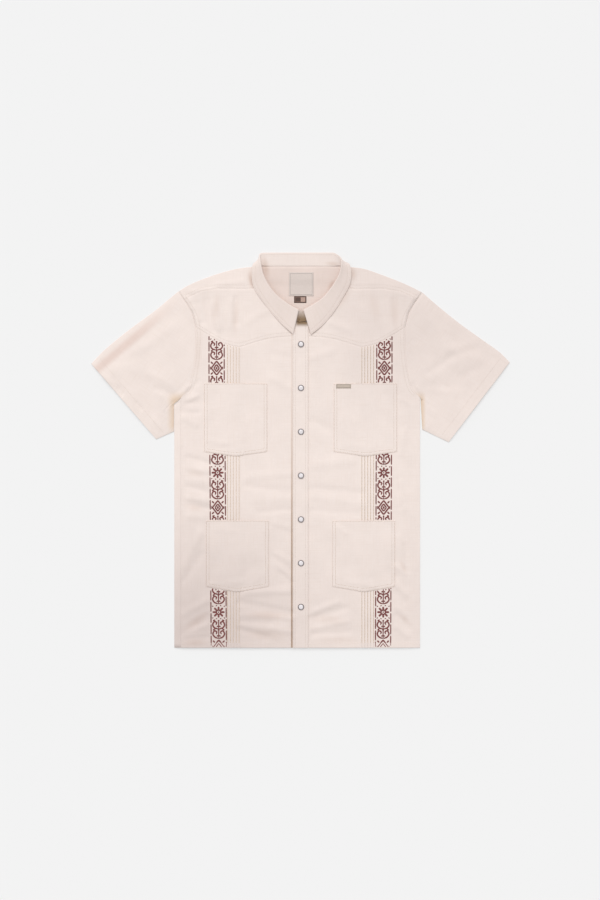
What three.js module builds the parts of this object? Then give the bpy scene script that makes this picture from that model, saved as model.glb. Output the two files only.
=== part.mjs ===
// A short-sleeved guayabera shirt, closed with snaps and laid flat on its back, in millimetres.
// +X is the wearer's left, +Y points to the collar and +Z is up. z = 0 is the surface that the shirt lies on,
// and the origin is the middle of the shirt's outline on that surface.
//
// Every piece of cloth is the middle surface of its wall, drawn as rows of points, and then given its thickness.
import * as THREE from "three";

// ---------- driving dimensions ----------
const overallLength = 811; // top of the collar to the hem
const sleeveSpan = 859; // sleeve tip to sleeve tip
const frontHalfWidth = 245; // centre front to the side seam
const sideRoll = 14; // of the back, rolled round to the front beside the wearer's right side seam
const cloth = 1.0; // wall of one layer
const stiffCloth = 1.2; // wall of the interlined collar, stand and placket
const seamGap = 0.3; // space between two pieces that are sewn together
const placketWidth = 33;
const placketTop = 259; // height of the placket's upper end
const rollRadius = 1.2; // of the collar's fold, at the middle of its wall
const tuckCount = 5;
const tuckPitch = 6;
const tuckFirst = 125; // centre front to the nearest tuck
const tuckWidth = 2.6;
const tuckHeight = 0.8;
const tuckStep = 0.5; // the steep side of a tuck
const snapCount = 7;
const snapPitch = 89.8;
const snapTop = 217; // height of the highest snap
const snapRadius = 6.2;
const pearlRadius = 4.1;
const snapHeight = 1.8;
const yokeSeamHeight = 268; // seam of the back yoke and the back
const yokeLap = 8; // width of the front yoke's seam on the front
const restHeight = cloth / 2; // middle of the layer that lies on the surface
const foldHeight = 1.9; // middle of the upper layer at a folded edge
const domeHeight = 2.4; // how far the upper layer rises inside its edges
const domeReach = 18;
const collarLift = 1.5; // of the cloth over the leaf behind the neck

const hemY = -overallLength / 2;
const tipX = sleeveSpan / 2;
const underlapX = placketWidth / 2 - 3.5; // inner edge of the fronts, under the placket
const foldRadius = (foldHeight - restHeight) / 2; // of a folded edge, at the middle of its wall
const foldInset = foldRadius + cloth / 2;

// ---------- outlines, from the centre front outwards ----------
// Each half is drawn on the wearer's left; the right half is its mirror image except where a table says so.
const armholeRows = [
  { x: 245, y: 108 },
  { x: 231, y: 121 },
  { x: 223, y: 145 },
  { x: 217, y: 178 },
  { x: 214.5, y: 203 },
  { x: 214, y: 252 },
  { x: 222, y: 281 },
  { x: 235, y: 303 },
  { x: 250, y: 323.5 },
];
const shoulderRows = {
  left: [
    { x: 89, y: 376.5 },
    { x: 128, y: 372.5 },
    { x: 163, y: 361 },
    { x: 196, y: 348.5 },
    { x: 225, y: 336 },
    { x: 250, y: 323.5 },
  ],
  right: [
    { x: 89, y: 377 },
    { x: 128, y: 372.5 },
    { x: 170, y: 361.5 },
    { x: 205, y: 349 },
    { x: 232, y: 337 },
    { x: 250, y: 326 },
  ],
};
const yokeEdgeRows = [
  { x: 0, y: 233.5 },
  { x: 17, y: 233.5 },
  { x: 59, y: 230 },
  { x: 91, y: 222 },
  { x: 124, y: 212 },
  { x: 132, y: 212.5 },
  { x: 157, y: 219 },
  { x: 190, y: 237 },
  { x: 214, y: 252 },
];
const forwardSeamRows = [
  { x: 78, y: 334 },
  { x: 112, y: 330.5 },
  { x: 140, y: 331 },
  { x: 172, y: 331 },
  { x: 205, y: 325 },
  { x: 239, y: 309 },
];
const neckRows = [
  { x: 0, y: 260.7 },
  { x: 13, y: 262 },
  { x: 30, y: 268.3 },
  { x: 47.2, y: 282.6 },
  { x: 64.4, y: 303.6 },
  { x: 78.2, y: 333 },
  { x: 86.2, y: 354.7 },
  { x: 89.6, y: 374 },
];
const backNeckY = 376.8;

// Each sleeve lies as a flat tube. top is its folded upper edge; its lower fold runs from waist, beside
// the body, down to underarm and on to cuffLow. bodyEdge is the fold of the body beside it.
const sleeveShapes = {
  left: {
    side: 1,
    top: [
      { x: 250.3, y: 323.3 },
      { x: 278, y: 299 },
      { x: 323, y: 262.4 },
      { x: 374, y: 225.5 },
      { x: 409, y: 200.5 },
      { x: tipX, y: 180 },
    ],
    cuffLow: { x: 304, y: 16 },
    underarm: { x: 250, y: 42 },
    waist: { x: 246.4, y: 106 },
    bodyEdge: frontHalfWidth,
  },
  right: {
    side: -1,
    top: [
      { x: 250.3, y: 325.8 },
      { x: 268, y: 311.5 },
      { x: 296, y: 288 },
      { x: 347.5, y: 250 },
      { x: 378, y: 226 },
      { x: 407, y: 201 },
      { x: tipX, y: 177 },
    ],
    cuffLow: { x: 296, y: 22 },
    underarm: { x: 259.8, y: 38 },
    waist: { x: 259.6, y: 93 },
    bodyEdge: frontHalfWidth + sideRoll,
  },
};
// Rows of a sleeve: beside the body (beside: share of the way from underarm to waist) or on the armhole
// (armhole: its height), and where the row ends along the cuff.
const sleeveRows = [
  { beside: 0, cuff: 0 },
  { beside: 0.3, cuff: 0.06 },
  { beside: 0.65, cuff: 0.13 },
  { beside: 1, cuff: 0.2 },
  { armhole: 109.5, cuff: 0.22 },
  { armhole: 121, cuff: 0.28 },
  { armhole: 145, cuff: 0.38 },
  { armhole: 178, cuff: 0.5 },
  { armhole: 203, cuff: 0.6 },
  { armhole: 252, cuff: 0.76 },
  { armhole: 281, cuff: 0.87 },
  { armhole: 303, cuff: 0.95 },
  { cuff: 1 },
];
const sleeveColumns = [0, 0.08, 0.2, 0.34, 0.5, 0.66, 0.8, 0.91, 1];

// The largest soft folds of the upper layer: a ridge, or a trough where height is negative.
const foldRows = [
  { x: -176, y: 338, toX: -174, toY: 262, width: 10, height: 1.0 },
  { x: -191, y: 334, toX: -190, toY: 262, width: 9, height: -1.0 },
  { x: -270, y: 92, toX: -240, toY: 112, width: 9, height: 1.1 },
  { x: -240, y: 92, toX: -204, toY: 99, width: 10, height: -1.2 },
  { x: -250, y: 304, toX: -232, toY: 326, width: 9, height: -1.0 },
  { x: -226, y: -106, toX: -212, toY: -112, width: 12, height: -1.0 },
  { x: -116, y: -330, toX: -30, toY: -332, width: 14, height: -1.1 },
  { x: -112, y: -360, toX: -30, toY: -364, width: 14, height: 0.9 },
  { x: 30, y: -360, toX: 84, toY: -366, width: 14, height: -0.9 },
  { x: 206, y: -225, toX: 214, toY: -300, width: 12, height: -0.9 },
  { x: 262, y: 150, toX: 335, toY: 190, width: 16, height: 0.9 },
  { x: -262, y: 150, toX: -345, toY: 168, width: 16, height: 0.9 },
];

// The four pockets, from the centre front outwards: two on the chest and two below.
const pocketShapes = {
  chest_pocket: { inner: 68, outer: 198, top: 136.5, corner: -3.5, point: -12.5 },
  lower_pocket: { inner: 65, outer: 194, top: -145, corner: -280, point: -291 },
};
const pocketPuff = 0.9;

// Stations of the collar from the wearer's right front end, round the neck, to the left front end. base is
// the neck seam, crest the top of the stand, and edge the outer edge of the leaf that turns over it.
const collarRows = [
  { baseX: 4, baseY: 262, baseZ: 4.3, crestX: -4, crestY: 286, crestZ: 7.4, edgeX: -15, edgeY: 237.5, edgeZ: 8.6 },
  { baseX: -26, baseY: 268, baseZ: 4.3, crestX: -25, crestY: 298, crestZ: 7.8, edgeX: -37, edgeY: 257, edgeZ: 6.6 },
  { baseX: -46, baseY: 284, baseZ: 4.3, crestX: -47.5, crestY: 315, crestZ: 8.2, edgeX: -59, edgeY: 281, edgeZ: 6.2 },
  { baseX: -63, baseY: 305, baseZ: 4.3, crestX: -64.5, crestY: 335.5, crestZ: 8.4, edgeX: -80, edgeY: 308, edgeZ: 6.1 },
  { baseX: -77, baseY: 333, baseZ: 4.3, crestX: -75, crestY: 357.5, crestZ: 8.2, edgeX: -96, edgeY: 334, edgeZ: 6.2 },
  { baseX: -85, baseY: 355, baseZ: 5.0, crestX: -79, crestY: 371, crestZ: 8.6, edgeX: -100, edgeY: 358, edgeZ: 6.4 },
  { baseX: -88, baseY: 371, baseZ: 4.0, crestX: -82.5, crestY: 382, crestZ: 8.8, edgeX: -98, edgeY: 380, edgeZ: 3.6 },
  { baseX: -83, baseY: 378.2, baseZ: 3.6, crestX: -81, crestY: 394, crestZ: 7.2, edgeX: -89, edgeY: 383, edgeZ: 1.3 },
  { baseX: -62, baseY: 377.3, baseZ: 2.2, crestX: -63, crestY: 403.2, crestZ: 2.9, edgeX: -70, edgeY: 370, edgeZ: 0.6 },
  { baseX: -30, baseY: 377.3, baseZ: 2.0, crestX: -31, crestY: 403.46, crestZ: 2.8, edgeX: -32, edgeY: 361, edgeZ: 0.62 },
  { baseX: 0, baseY: 377.3, baseZ: 2.0, crestX: 0, crestY: 403.46, crestZ: 2.8, edgeX: 0, edgeY: 360.5, edgeZ: 0.62 },
  { baseX: 30, baseY: 377.3, baseZ: 2.0, crestX: 30, crestY: 403.46, crestZ: 2.8, edgeX: 32, edgeY: 361, edgeZ: 0.62 },
  { baseX: 62, baseY: 377.3, baseZ: 2.2, crestX: 60, crestY: 403.2, crestZ: 2.9, edgeX: 70, edgeY: 370, edgeZ: 0.6 },
  { baseX: 83, baseY: 378.2, baseZ: 3.6, crestX: 81, crestY: 394, crestZ: 7.2, edgeX: 91, edgeY: 384, edgeZ: 1.3 },
  { baseX: 88, baseY: 371, baseZ: 4.0, crestX: 84, crestY: 382, crestZ: 8.8, edgeX: 101, edgeY: 380, edgeZ: 3.6 },
  { baseX: 85, baseY: 355, baseZ: 5.0, crestX: 82, crestY: 370, crestZ: 8.6, edgeX: 104, edgeY: 360, edgeZ: 6.4 },
  { baseX: 77, baseY: 333, baseZ: 4.3, crestX: 77.5, crestY: 355, crestZ: 8.2, edgeX: 100, edgeY: 337, edgeZ: 6.2 },
  { baseX: 63, baseY: 305, baseZ: 4.3, crestX: 63, crestY: 331, crestZ: 8.4, edgeX: 85, edgeY: 309, edgeZ: 6.1 },
  { baseX: 46, baseY: 284, baseZ: 4.3, crestX: 46, crestY: 311, crestZ: 8.2, edgeX: 67, edgeY: 281, edgeZ: 6.2 },
  { baseX: 26, baseY: 268, baseZ: 5.2, crestX: 26, crestY: 297, crestZ: 7.8, edgeX: 44, edgeY: 255, edgeZ: 6.6 },
  { baseX: -4, baseY: 262, baseZ: 6.2, crestX: 6.5, crestY: 286, crestZ: 7.4, edgeX: 21.5, edgeY: 237, edgeZ: 8.4 },
].map((row, at) => ({ at, ...row }));
const collarSteps = 32;

// ---------- small helpers ----------
const mix = (a, b, k) => a + (b - a) * k;
const clamp01 = (v) => Math.min(1, Math.max(0, v));
const smooth = (from, to, v) => {
  const k = clamp01((v - from) / (to - from));
  return k * k * (3 - 2 * k);
};
const point = (x, y, z = 0) => new THREE.Vector3(x, y, z);

// The value of column `out` of a table where its column `by` is v, on a smooth curve through the rows.
function lookUp(rows, by, out, v) {
  let i = 0;
  while (i < rows.length - 2 && rows[i + 1][by] < v) i++;
  const [a, b] = [rows[i], rows[i + 1]];
  const before = rows[Math.max(i - 1, 0)];
  const after = rows[Math.min(i + 2, rows.length - 1)];
  const span = b[by] - a[by];
  const k = clamp01((v - a[by]) / span);
  const slopeA = (b[out] - before[out]) / (b[by] - before[by]);
  const slopeB = (after[out] - a[out]) / (after[by] - a[by]);
  const [k2, k3] = [k * k, k * k * k];
  return (
    (2 * k3 - 3 * k2 + 1) * a[out] +
    (k3 - 2 * k2 + k) * span * slopeA +
    (3 * k2 - 2 * k3) * b[out] +
    (k3 - k2) * span * slopeB
  );
}

// The same on straight pieces between the rows.
function onChain(rows, by, out, v) {
  let i = 0;
  while (i < rows.length - 2 && rows[i + 1][by] < v) i++;
  const [a, b] = [rows[i], rows[i + 1]];
  return mix(a[out], b[out], (v - a[by]) / (b[by] - a[by]));
}

// A curve through points, by its length from 0 to 1.
function curveThrough(points) {
  const curve = new THREE.CatmullRomCurve3(points, false, "centripetal");
  return (k) => curve.getPointAt(k);
}

function distanceToSegment(x, y, s) {
  const [dx, dy] = [s.toX - s.x, s.toY - s.y];
  const k = clamp01(((x - s.x) * dx + (y - s.y) * dy) / (dx * dx + dy * dy));
  return Math.hypot(x - s.x - k * dx, y - s.y - k * dy);
}

// ---------- heights ----------
// x and y are signed positions on the shirt from here on.
// Armhole and forward seam are chains of straight pieces, so that the cloth on both sides keeps to one line.
const armholeX = (y) => onChain(armholeRows, "y", "x", y);
const sideX = (y) => (y <= armholeRows[0].y ? frontHalfWidth : armholeX(y));
const shoulderY = (x) => lookUp(x > 0 ? shoulderRows.left : shoulderRows.right, "x", "y", Math.abs(x));
const yokeEdgeY = (x) => lookUp(yokeEdgeRows, "x", "y", Math.abs(x));
const forwardSeamY = (x) => onChain(forwardSeamRows, "x", "y", Math.abs(x));
const neckY = (x) => lookUp(neckRows, "x", "y", Math.abs(x));
const neckX = (y) => lookUp(neckRows, "y", "x", y);

// The folded edges of the outline, where the upper layer comes down to the lower one.
const foldedEdges = [];
for (const [name, shape] of Object.entries(sleeveShapes)) {
  const { side, top, cuffLow, underarm, waist, bodyEdge } = shape;
  const upper = [...shoulderRows[name].slice(0, -1), ...top];
  for (const chain of [upper, [waist, underarm, cuffLow], [{ x: bodyEdge, y: hemY }, { x: bodyEdge, y: waist.y }]]) {
    for (let i = 0; i + 1 < chain.length; i++) {
      const [a, b] = [chain[i], chain[i + 1]];
      foldedEdges.push({ x: side * a.x, y: a.y, toX: side * b.x, toY: b.y });
    }
  }
}

function foldsAt(x, y) {
  let sum = 0;
  for (const fold of foldRows) {
    sum += fold.height * Math.exp(-((distanceToSegment(x, y, fold) / fold.width) ** 2));
  }
  return sum;
}

// Both layers are lifted beside the back of the neck, where the collar's leaf lies under them.
const neckLift = (x, y) => collarLift * clamp01((y - 338) / 12) * smooth(106, 90, Math.abs(x));

// Middles of the lower and the upper layer of body and sleeves.
const lowerHeight = (x, y) => restHeight + neckLift(x, y);
function upperHeight(x, y) {
  const reach = Math.min(...foldedEdges.map((edge) => distanceToSegment(x, y, edge)));
  const rise = 1 - Math.exp(-Math.max(0, reach - foldInset) / domeReach);
  return foldHeight + rise * (domeHeight + foldsAt(x, y)) + neckLift(x, y);
}

// How far the front yoke stands above the front along its lower edge.
const lapRise = (x, y) =>
  (cloth + seamGap) * (1 - clamp01((y - yokeEdgeY(x) - yokeLap) / yokeLap));

// Top of the body's front at a point, without its tucks and placket.
function frontTop(x, y) {
  const onYoke = clamp01((y - yokeEdgeY(x) + 10) / 6);
  return upperHeight(x, y) + cloth / 2 + onYoke * lapRise(x, y);
}

function tuckRaise(x) {
  const from = (Math.abs(x) - tuckFirst + tuckWidth) / tuckPitch;
  const index = Math.floor(from + 1e-6);
  if (index < 0 || index >= tuckCount) return 0;
  const inside = (from - index) * tuckPitch;
  return tuckHeight * (inside <= tuckWidth ? inside / tuckWidth : clamp01(1 - (inside - tuckWidth) / tuckStep));
}
const tuckLast = tuckFirst + (tuckCount - 1) * tuckPitch;

// ---------- cloth walls ----------
// patches is a list of grids of points of the wall's middle surface, all wound the same way. Points that
// coincide are joined. raise(point) is what the outer side stands out beyond the plain wall.
function clothWall(patches, thickness, raise = () => 0) {
  const points = [];
  const known = new Map();
  const faces = [];
  const idOf = (p) => {
    const key = [p.x, p.y, p.z].map((v) => Math.round(v * 200)).join(" ");
    if (!known.has(key)) {
      known.set(key, points.length);
      points.push(p.clone());
    }
    return known.get(key);
  };
  for (const rows of patches) {
    for (let j = 0; j + 1 < rows.length; j++) {
      for (let i = 0; i + 1 < rows[j].length; i++) {
        const [a, b, c, d] = [rows[j][i], rows[j][i + 1], rows[j + 1][i + 1], rows[j + 1][i]].map(idOf);
        for (const face of [
          [a, b, c],
          [a, c, d],
        ]) {
          if (new Set(face).size === 3) faces.push(face);
        }
      }
    }
  }
  const normals = points.map(() => point(0, 0));
  const edges = new Map();
  for (const [a, b, c] of faces) {
    const normal = points[b].clone().sub(points[a]).cross(points[c].clone().sub(points[a]));
    for (const [from, to] of [
      [a, b],
      [b, c],
      [c, a],
    ]) {
      normals[from].add(normal);
      edges.set(`${from} ${to}`, [from, to]);
    }
  }
  const count = points.length;
  const position = [];
  for (const outer of [true, false]) {
    points.forEach((p, i) => {
      const out = outer ? thickness / 2 + raise(p) : -thickness / 2;
      position.push(...p.clone().addScaledVector(normals[i].clone().normalize(), out).toArray());
    });
  }
  const index = [];
  for (const [a, b, c] of faces) index.push(a, b, c, a + count, c + count, b + count);
  for (const [a, b] of edges.values()) {
    if (!edges.has(`${b} ${a}`)) index.push(a + count, b + count, b, a + count, b, a);
  }
  return new THREE.BufferGeometry()
    .setAttribute("position", new THREE.Float32BufferAttribute(position, 3))
    .setIndex(index);
}

// A patch drawn for the wearer's left half is wound the other way round once it is mirrored.
const sided = (side, rows) => (side > 0 ? rows : rows.map((row) => [...row].reverse()));

// Outline points with the direction out of the cloth and the point where a folded edge's half circle is
// centred. out turns the chain's own direction to the right (1) or to the left (-1).
function foldChain(outline, out) {
  return outline.map((p, i) => {
    const before = outline[Math.max(i - 1, 0)];
    const after = outline[Math.min(i + 1, outline.length - 1)];
    const normal = point(0, 0);
    for (const [a, b] of [
      [before, p],
      [p, after],
    ]) {
      if (a !== b) normal.add(point(b.y - a.y, a.x - b.x).normalize());
    }
    normal.normalize().multiplyScalar(out);
    return { x: p.x - normal.x * foldInset, y: p.y - normal.y * foldInset, normal };
  });
}

// Rows of points from the lower layer, round the folded edge, to the upper layer.
const foldTurns = [0, 45, 90, 135, 180].map((angle) => (angle * Math.PI) / 180);
function foldRowsRound(side, chain) {
  return foldTurns.map((turn) =>
    chain.map(({ x, y, normal }) => {
      const out = foldRadius * Math.sin(turn);
      const z = mix(lowerHeight(side * x, y), upperHeight(side * x, y), (1 - Math.cos(turn)) / 2);
      return point(side * (x + normal.x * out), y + normal.y * out, z);
    }),
  );
}
const onLower = (side, x, y) => point(side * x, y, lowerHeight(side * x, y));
const onUpper = (side, x, y) => point(side * x, y, upperHeight(side * x, y));
// The way round a piece: rows of its lower layer are turned over.
const turnedOver = (rows) => [...rows].reverse();

// Shares of the way up a piece beside the armhole bow the columns near it to the armhole's line.
function bow(lowY, highY, k, share) {
  const y = mix(lowY, highY, k);
  return share * share * (armholeX(y) - mix(armholeX(lowY), armholeX(highY), k));
}

// ---------- materials ----------
const linen = new THREE.MeshStandardMaterial({ color: 0xf0e4dc, roughness: 0.92, metalness: 0 });
const labelCloth = new THREE.MeshStandardMaterial({ color: 0xd8cbbd, roughness: 0.85, metalness: 0 });
const brownCloth = new THREE.MeshStandardMaterial({ color: 0x5d4038, roughness: 0.85, metalness: 0 });
const metal = new THREE.MeshStandardMaterial({ color: 0x9c959a, roughness: 0.3, metalness: 1 });
const pearl = new THREE.MeshStandardMaterial({ color: 0xf2eef0, roughness: 0.2, metalness: 0 });

const shirt = new THREE.Group();
shirt.name = "guayabera_shirt";
function addPiece(name, geometry, material) {
  const mesh = new THREE.Mesh(geometry, material);
  mesh.name = name;
  shirt.add(mesh);
  return mesh;
}

// ---------- back ----------
// The flat back, with the strip of it that rolls round the wearer's right side onto the front.
function backPanel() {
  const shape = sleeveShapes.right;
  const foldX = shape.bodyEdge - foldInset;
  const stripRows = [hemY, -270, -130, 0, shape.waist.y];
  const rowsY = [...stripRows, ...armholeRows.filter((row) => row.y < yokeSeamHeight).map((row) => row.y)];
  rowsY.push(yokeSeamHeight - seamGap);
  const across = [0, 0.15, 0.32, 0.5, 0.68, 0.85, 1];
  const flat = rowsY.map((y) => {
    const rightX = y <= shape.waist.y ? foldX : sideX(y);
    return across.map((u) => onLower(1, mix(-rightX, sideX(y), u), y));
  });
  const chain = foldChain(
    stripRows.map((y) => ({ x: shape.bodyEdge, y })),
    1,
  );
  const strip = [foldX, foldX - 6, frontHalfWidth + seamGap].map((x) => chain.map(({ y }) => onUpper(-1, x, y)));
  return clothWall([turnedOver(flat), sided(-1, foldRowsRound(-1, chain)), sided(-1, strip)], cloth);
}

// ---------- back yoke ----------
// It lies behind the shoulders, folds over them and reaches forward to the seam of the front yokes.
const shoulderColumns = [0, 0.055, 0.105, 0.25, 0.42, 0.6, 0.8, 1];
const seamColumns = [78, 84, 91, 112, 140, 172, 205, 238.8];
function shoulderChain(side) {
  const outline = shoulderColumns.map((q) => {
    const x = mix(89.8, 249, q);
    return { x, y: shoulderY(side * x) };
  });
  return foldChain(outline, -1);
}
function backYoke() {
  const shares = [0, 0.237, 0.639, 0.754, 1];
  const chains = { 1: shoulderChain(1), [-1]: shoulderChain(-1) };
  const lowRight = armholeX(yokeSeamHeight) - seamGap / 2;
  const columns = [];
  const outer = (side) =>
    chains[side].map((top, i) => ({ side, low: mix(91, lowRight, shoulderColumns[i]), top, share: shoulderColumns[i] }));
  const inner = [-86, -43, 0, 43, 86].map((x) => ({ side: 1, low: x, top: { x, y: backNeckY }, share: 0 }));
  columns.push(...outer(-1).reverse(), ...inner, ...outer(1));
  const flat = shares.map((k) =>
    columns.map(({ side, low, top, share }) => {
      const y = mix(yokeSeamHeight, top.y, k);
      return onLower(side, mix(low, top.x, k) + bow(yokeSeamHeight, top.y, k, share), y);
    }),
  );
  const patches = [turnedOver(flat)];
  for (const side of [1, -1]) {
    const chain = chains[side];
    patches.push(sided(side, turnedOver(foldRowsRound(side, chain))));
    const seam = seamColumns.map((x) => ({ x, y: forwardSeamY(x) + seamGap / 2 }));
    const front = [0, 0.3, 0.6, 0.85, 1].map((k) =>
      chain.map((top, i) => {
        const y = mix(seam[i].y, top.y, k);
        const x = mix(seam[i].x, top.x, k) + bow(seam[i].y, top.y, k, shoulderColumns[i]);
        const neckBow = neckX(y) - mix(neckX(seam[0].y), neckX(chain[0].y), k);
        return onUpper(side, x + (i === 0 ? Math.max(0, neckBow) : 0), y);
      }),
    );
    patches.push(sided(side, front));
  }
  return clothWall(patches, cloth);
}

// ---------- fronts ----------
const bodyLevels = [hemY, -390, -360, -330, -300, -215, -125, -95, 0, 75, 108, 121, 145, 178, 203];
const tuckColumns = Array.from({ length: tuckCount }, (_, i) => tuckFirst + i * tuckPitch).flatMap((x) => [
  x - tuckWidth,
  x,
  x + tuckStep,
]);
const frontColumns = [17, 40, 65, 95, ...tuckColumns, 157];
const fromSide = [45, 20, 8, 0];
// The wearer's right front reaches across the centre, under the placket, to the edge of the left one.
const innerEdge = (side) => side * underlapX + seamGap / 2;

function frontPanel(side) {
  const rows = bodyLevels.map((y) => [
    ...[innerEdge(side), ...frontColumns].map((x) => ({ x, y })),
    ...fromSide.map((inset) => ({ x: sideX(y) - inset - (y < armholeRows[0].y ? 0 : seamGap), y })),
  ]);
  for (const above of [-5, -0.4, yokeLap]) {
    const side0 = armholeX(252 + above) - seamGap / 2;
    rows.push(
      [innerEdge(side), ...frontColumns, ...fromSide.map((inset) => side0 - inset)].map((x) => ({
        x,
        y: yokeEdgeY(x) + above,
      })),
    );
  }
  const patch = rows.map((row) => row.map(({ x, y }) => onUpper(side, x, y)));
  return clothWall([sided(side, patch)], cloth, (p) => (p.y < yokeEdgeY(p.x) - 3 ? tuckRaise(p.x) : 0));
}

// Columns of the front yoke, by where they start on its lower edge and end on the neck or the forward seam.
const yokeColumns = [
  { low: 17, high: 17 },
  { low: 38, high: 30 },
  { low: 60, high: 47.2 },
  { low: 82, high: 64.4 },
  { low: 100, high: 78 },
  { low: 112, high: 95 },
  { low: 124, high: 112 },
  { low: 132, high: 126 },
  { low: 157, high: 140 },
  { low: 170, high: 158 },
  { low: 180, high: 172 },
  { low: 190, high: 188 },
  { low: 202, high: 205 },
  { low: 213.85, high: 238.8 },
];
function frontYoke(side) {
  const first = innerEdge(side);
  const inner = first < 0 ? [first, 0] : [first];
  const columns = [...inner.map((x) => ({ low: x, high: x })), ...yokeColumns];
  const patch = [0, yokeLap, 2 * yokeLap, 0.32, 0.86, 1].map((row) =>
    columns.map(({ low, high }, i) => {
      const lowY = yokeEdgeY(low);
      const highY = high <= 78 ? neckY(high) : forwardSeamY(high) - seamGap / 2;
      const y = row === 0 || row > 1 ? lowY + row : mix(lowY + 2 * yokeLap, highY, row);
      const k = (y - lowY) / (highY - lowY);
      const share = i / (columns.length - 1);
      const x = mix(low, high, k) + bow(lowY, highY, k, share * share);
      const p = onUpper(side, x, y);
      p.z += row > 1 || row === 0 ? (row > yokeLap ? 0 : cloth + seamGap) : 0;
      return p;
    }),
  );
  return clothWall([sided(side, patch)], cloth);
}

// ---------- sleeves ----------
function sleeve(shape) {
  const { side, top, cuffLow, underarm, waist } = shape;
  const topCurve = curveThrough(top.map((p) => point(p.x, p.y)));
  const besideRows = sleeveRows.filter((row) => row.beside !== undefined);
  const lowOutline = [
    ...turnedOver(besideRows).map(({ beside }) => point(mix(underarm.x, waist.x, beside), mix(underarm.y, waist.y, beside))),
    ...sleeveColumns.slice(1).map((u) => point(mix(underarm.x, cuffLow.x, u), mix(underarm.y, cuffLow.y, u))),
  ];
  const lowChain = foldChain(lowOutline, 1);
  const topChain = foldChain(sleeveColumns.map(topCurve), -1);
  const corner = besideRows.length - 1;
  const bottomAt = (i) => lowChain[corner + i];
  const last = sleeveColumns.length - 1;
  const plan = sleeveRows.map((row, j) =>
    sleeveColumns.map((u, i) => {
      if (j === 0) return bottomAt(i);
      if (row.cuff === 1) return topChain[i];
      const left =
        row.beside !== undefined ? lowChain[corner - j] : { x: armholeX(row.armhole) + seamGap / 2, y: row.armhole };
      const cuff = { x: mix(bottomAt(last).x, topChain[last].x, row.cuff), y: mix(bottomAt(last).y, topChain[last].y, row.cuff) };
      const along = (axis) =>
        mix(left[axis], cuff[axis], u) +
        (1 - row.cuff) * (bottomAt(i)[axis] - mix(bottomAt(0)[axis], bottomAt(last)[axis], u)) +
        row.cuff * (topChain[i][axis] - mix(topChain[0][axis], topChain[last][axis], u));
      return { x: along("x"), y: along("y") };
    }),
  );
  const upper = plan.map((row) => row.map(({ x, y }) => onUpper(side, x, y)));
  const lower = plan.map((row) => row.map(({ x, y }) => onLower(side, x, y)));
  const patches = [upper, turnedOver(lower), foldRowsRound(side, lowChain), turnedOver(foldRowsRound(side, topChain))];
  return clothWall(
    patches.map((rows) => sided(side, rows)),
    cloth,
  );
}

// ---------- placket and pockets ----------
function placket() {
  const half = placketWidth / 2;
  const edge = yokeEdgeY(half);
  const rowsY = [...bodyLevels, edge - 10, edge - 4, edge + yokeLap, edge + 2 * yokeLap, placketTop];
  const rise = seamGap + stiffCloth / 2;
  const rows = rowsY.map((y) => [-half, 0, half].map((x) => point(x, y, frontTop(x, y) + rise)));
  return clothWall([rows], stiffCloth);
}

const tuckBedRows = [
  { x: 0, y: 0 },
  { x: 118, y: 0 },
  { x: 122, y: 1 },
  { x: 150, y: 1 },
  { x: 154, y: 0 },
  { x: 260, y: 0 },
];
const pocketColumns = (shape) => [shape.inner, 86, 104, 118, 122, 150, 154, 176, shape.outer];
const pocketRows = [0, 0.1, 0.34, 0.62, 0.86, 1];
function pocketHeight(side, shape, x, k) {
  const u = (x - shape.inner) / (shape.outer - shape.inner);
  const low = mix(shape.corner, shape.point, 1 - Math.abs(2 * u - 1));
  const y = mix(low, shape.top, k);
  const puff = pocketPuff * Math.sin(Math.PI * clamp01(u)) * Math.sin(Math.PI * Math.min(k, 0.8) * 0.75);
  const bed = tuckBedRows.find((row) => row.x === x)?.y ?? 0;
  return point(side * x, y, frontTop(side * x, y) + seamGap + cloth / 2 + tuckHeight * bed + puff);
}
function pocket(side, shape) {
  const rows = pocketRows.map((k) => pocketColumns(shape).map((x) => pocketHeight(side, shape, x, k)));
  return clothWall([sided(side, rows)], cloth);
}

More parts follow.
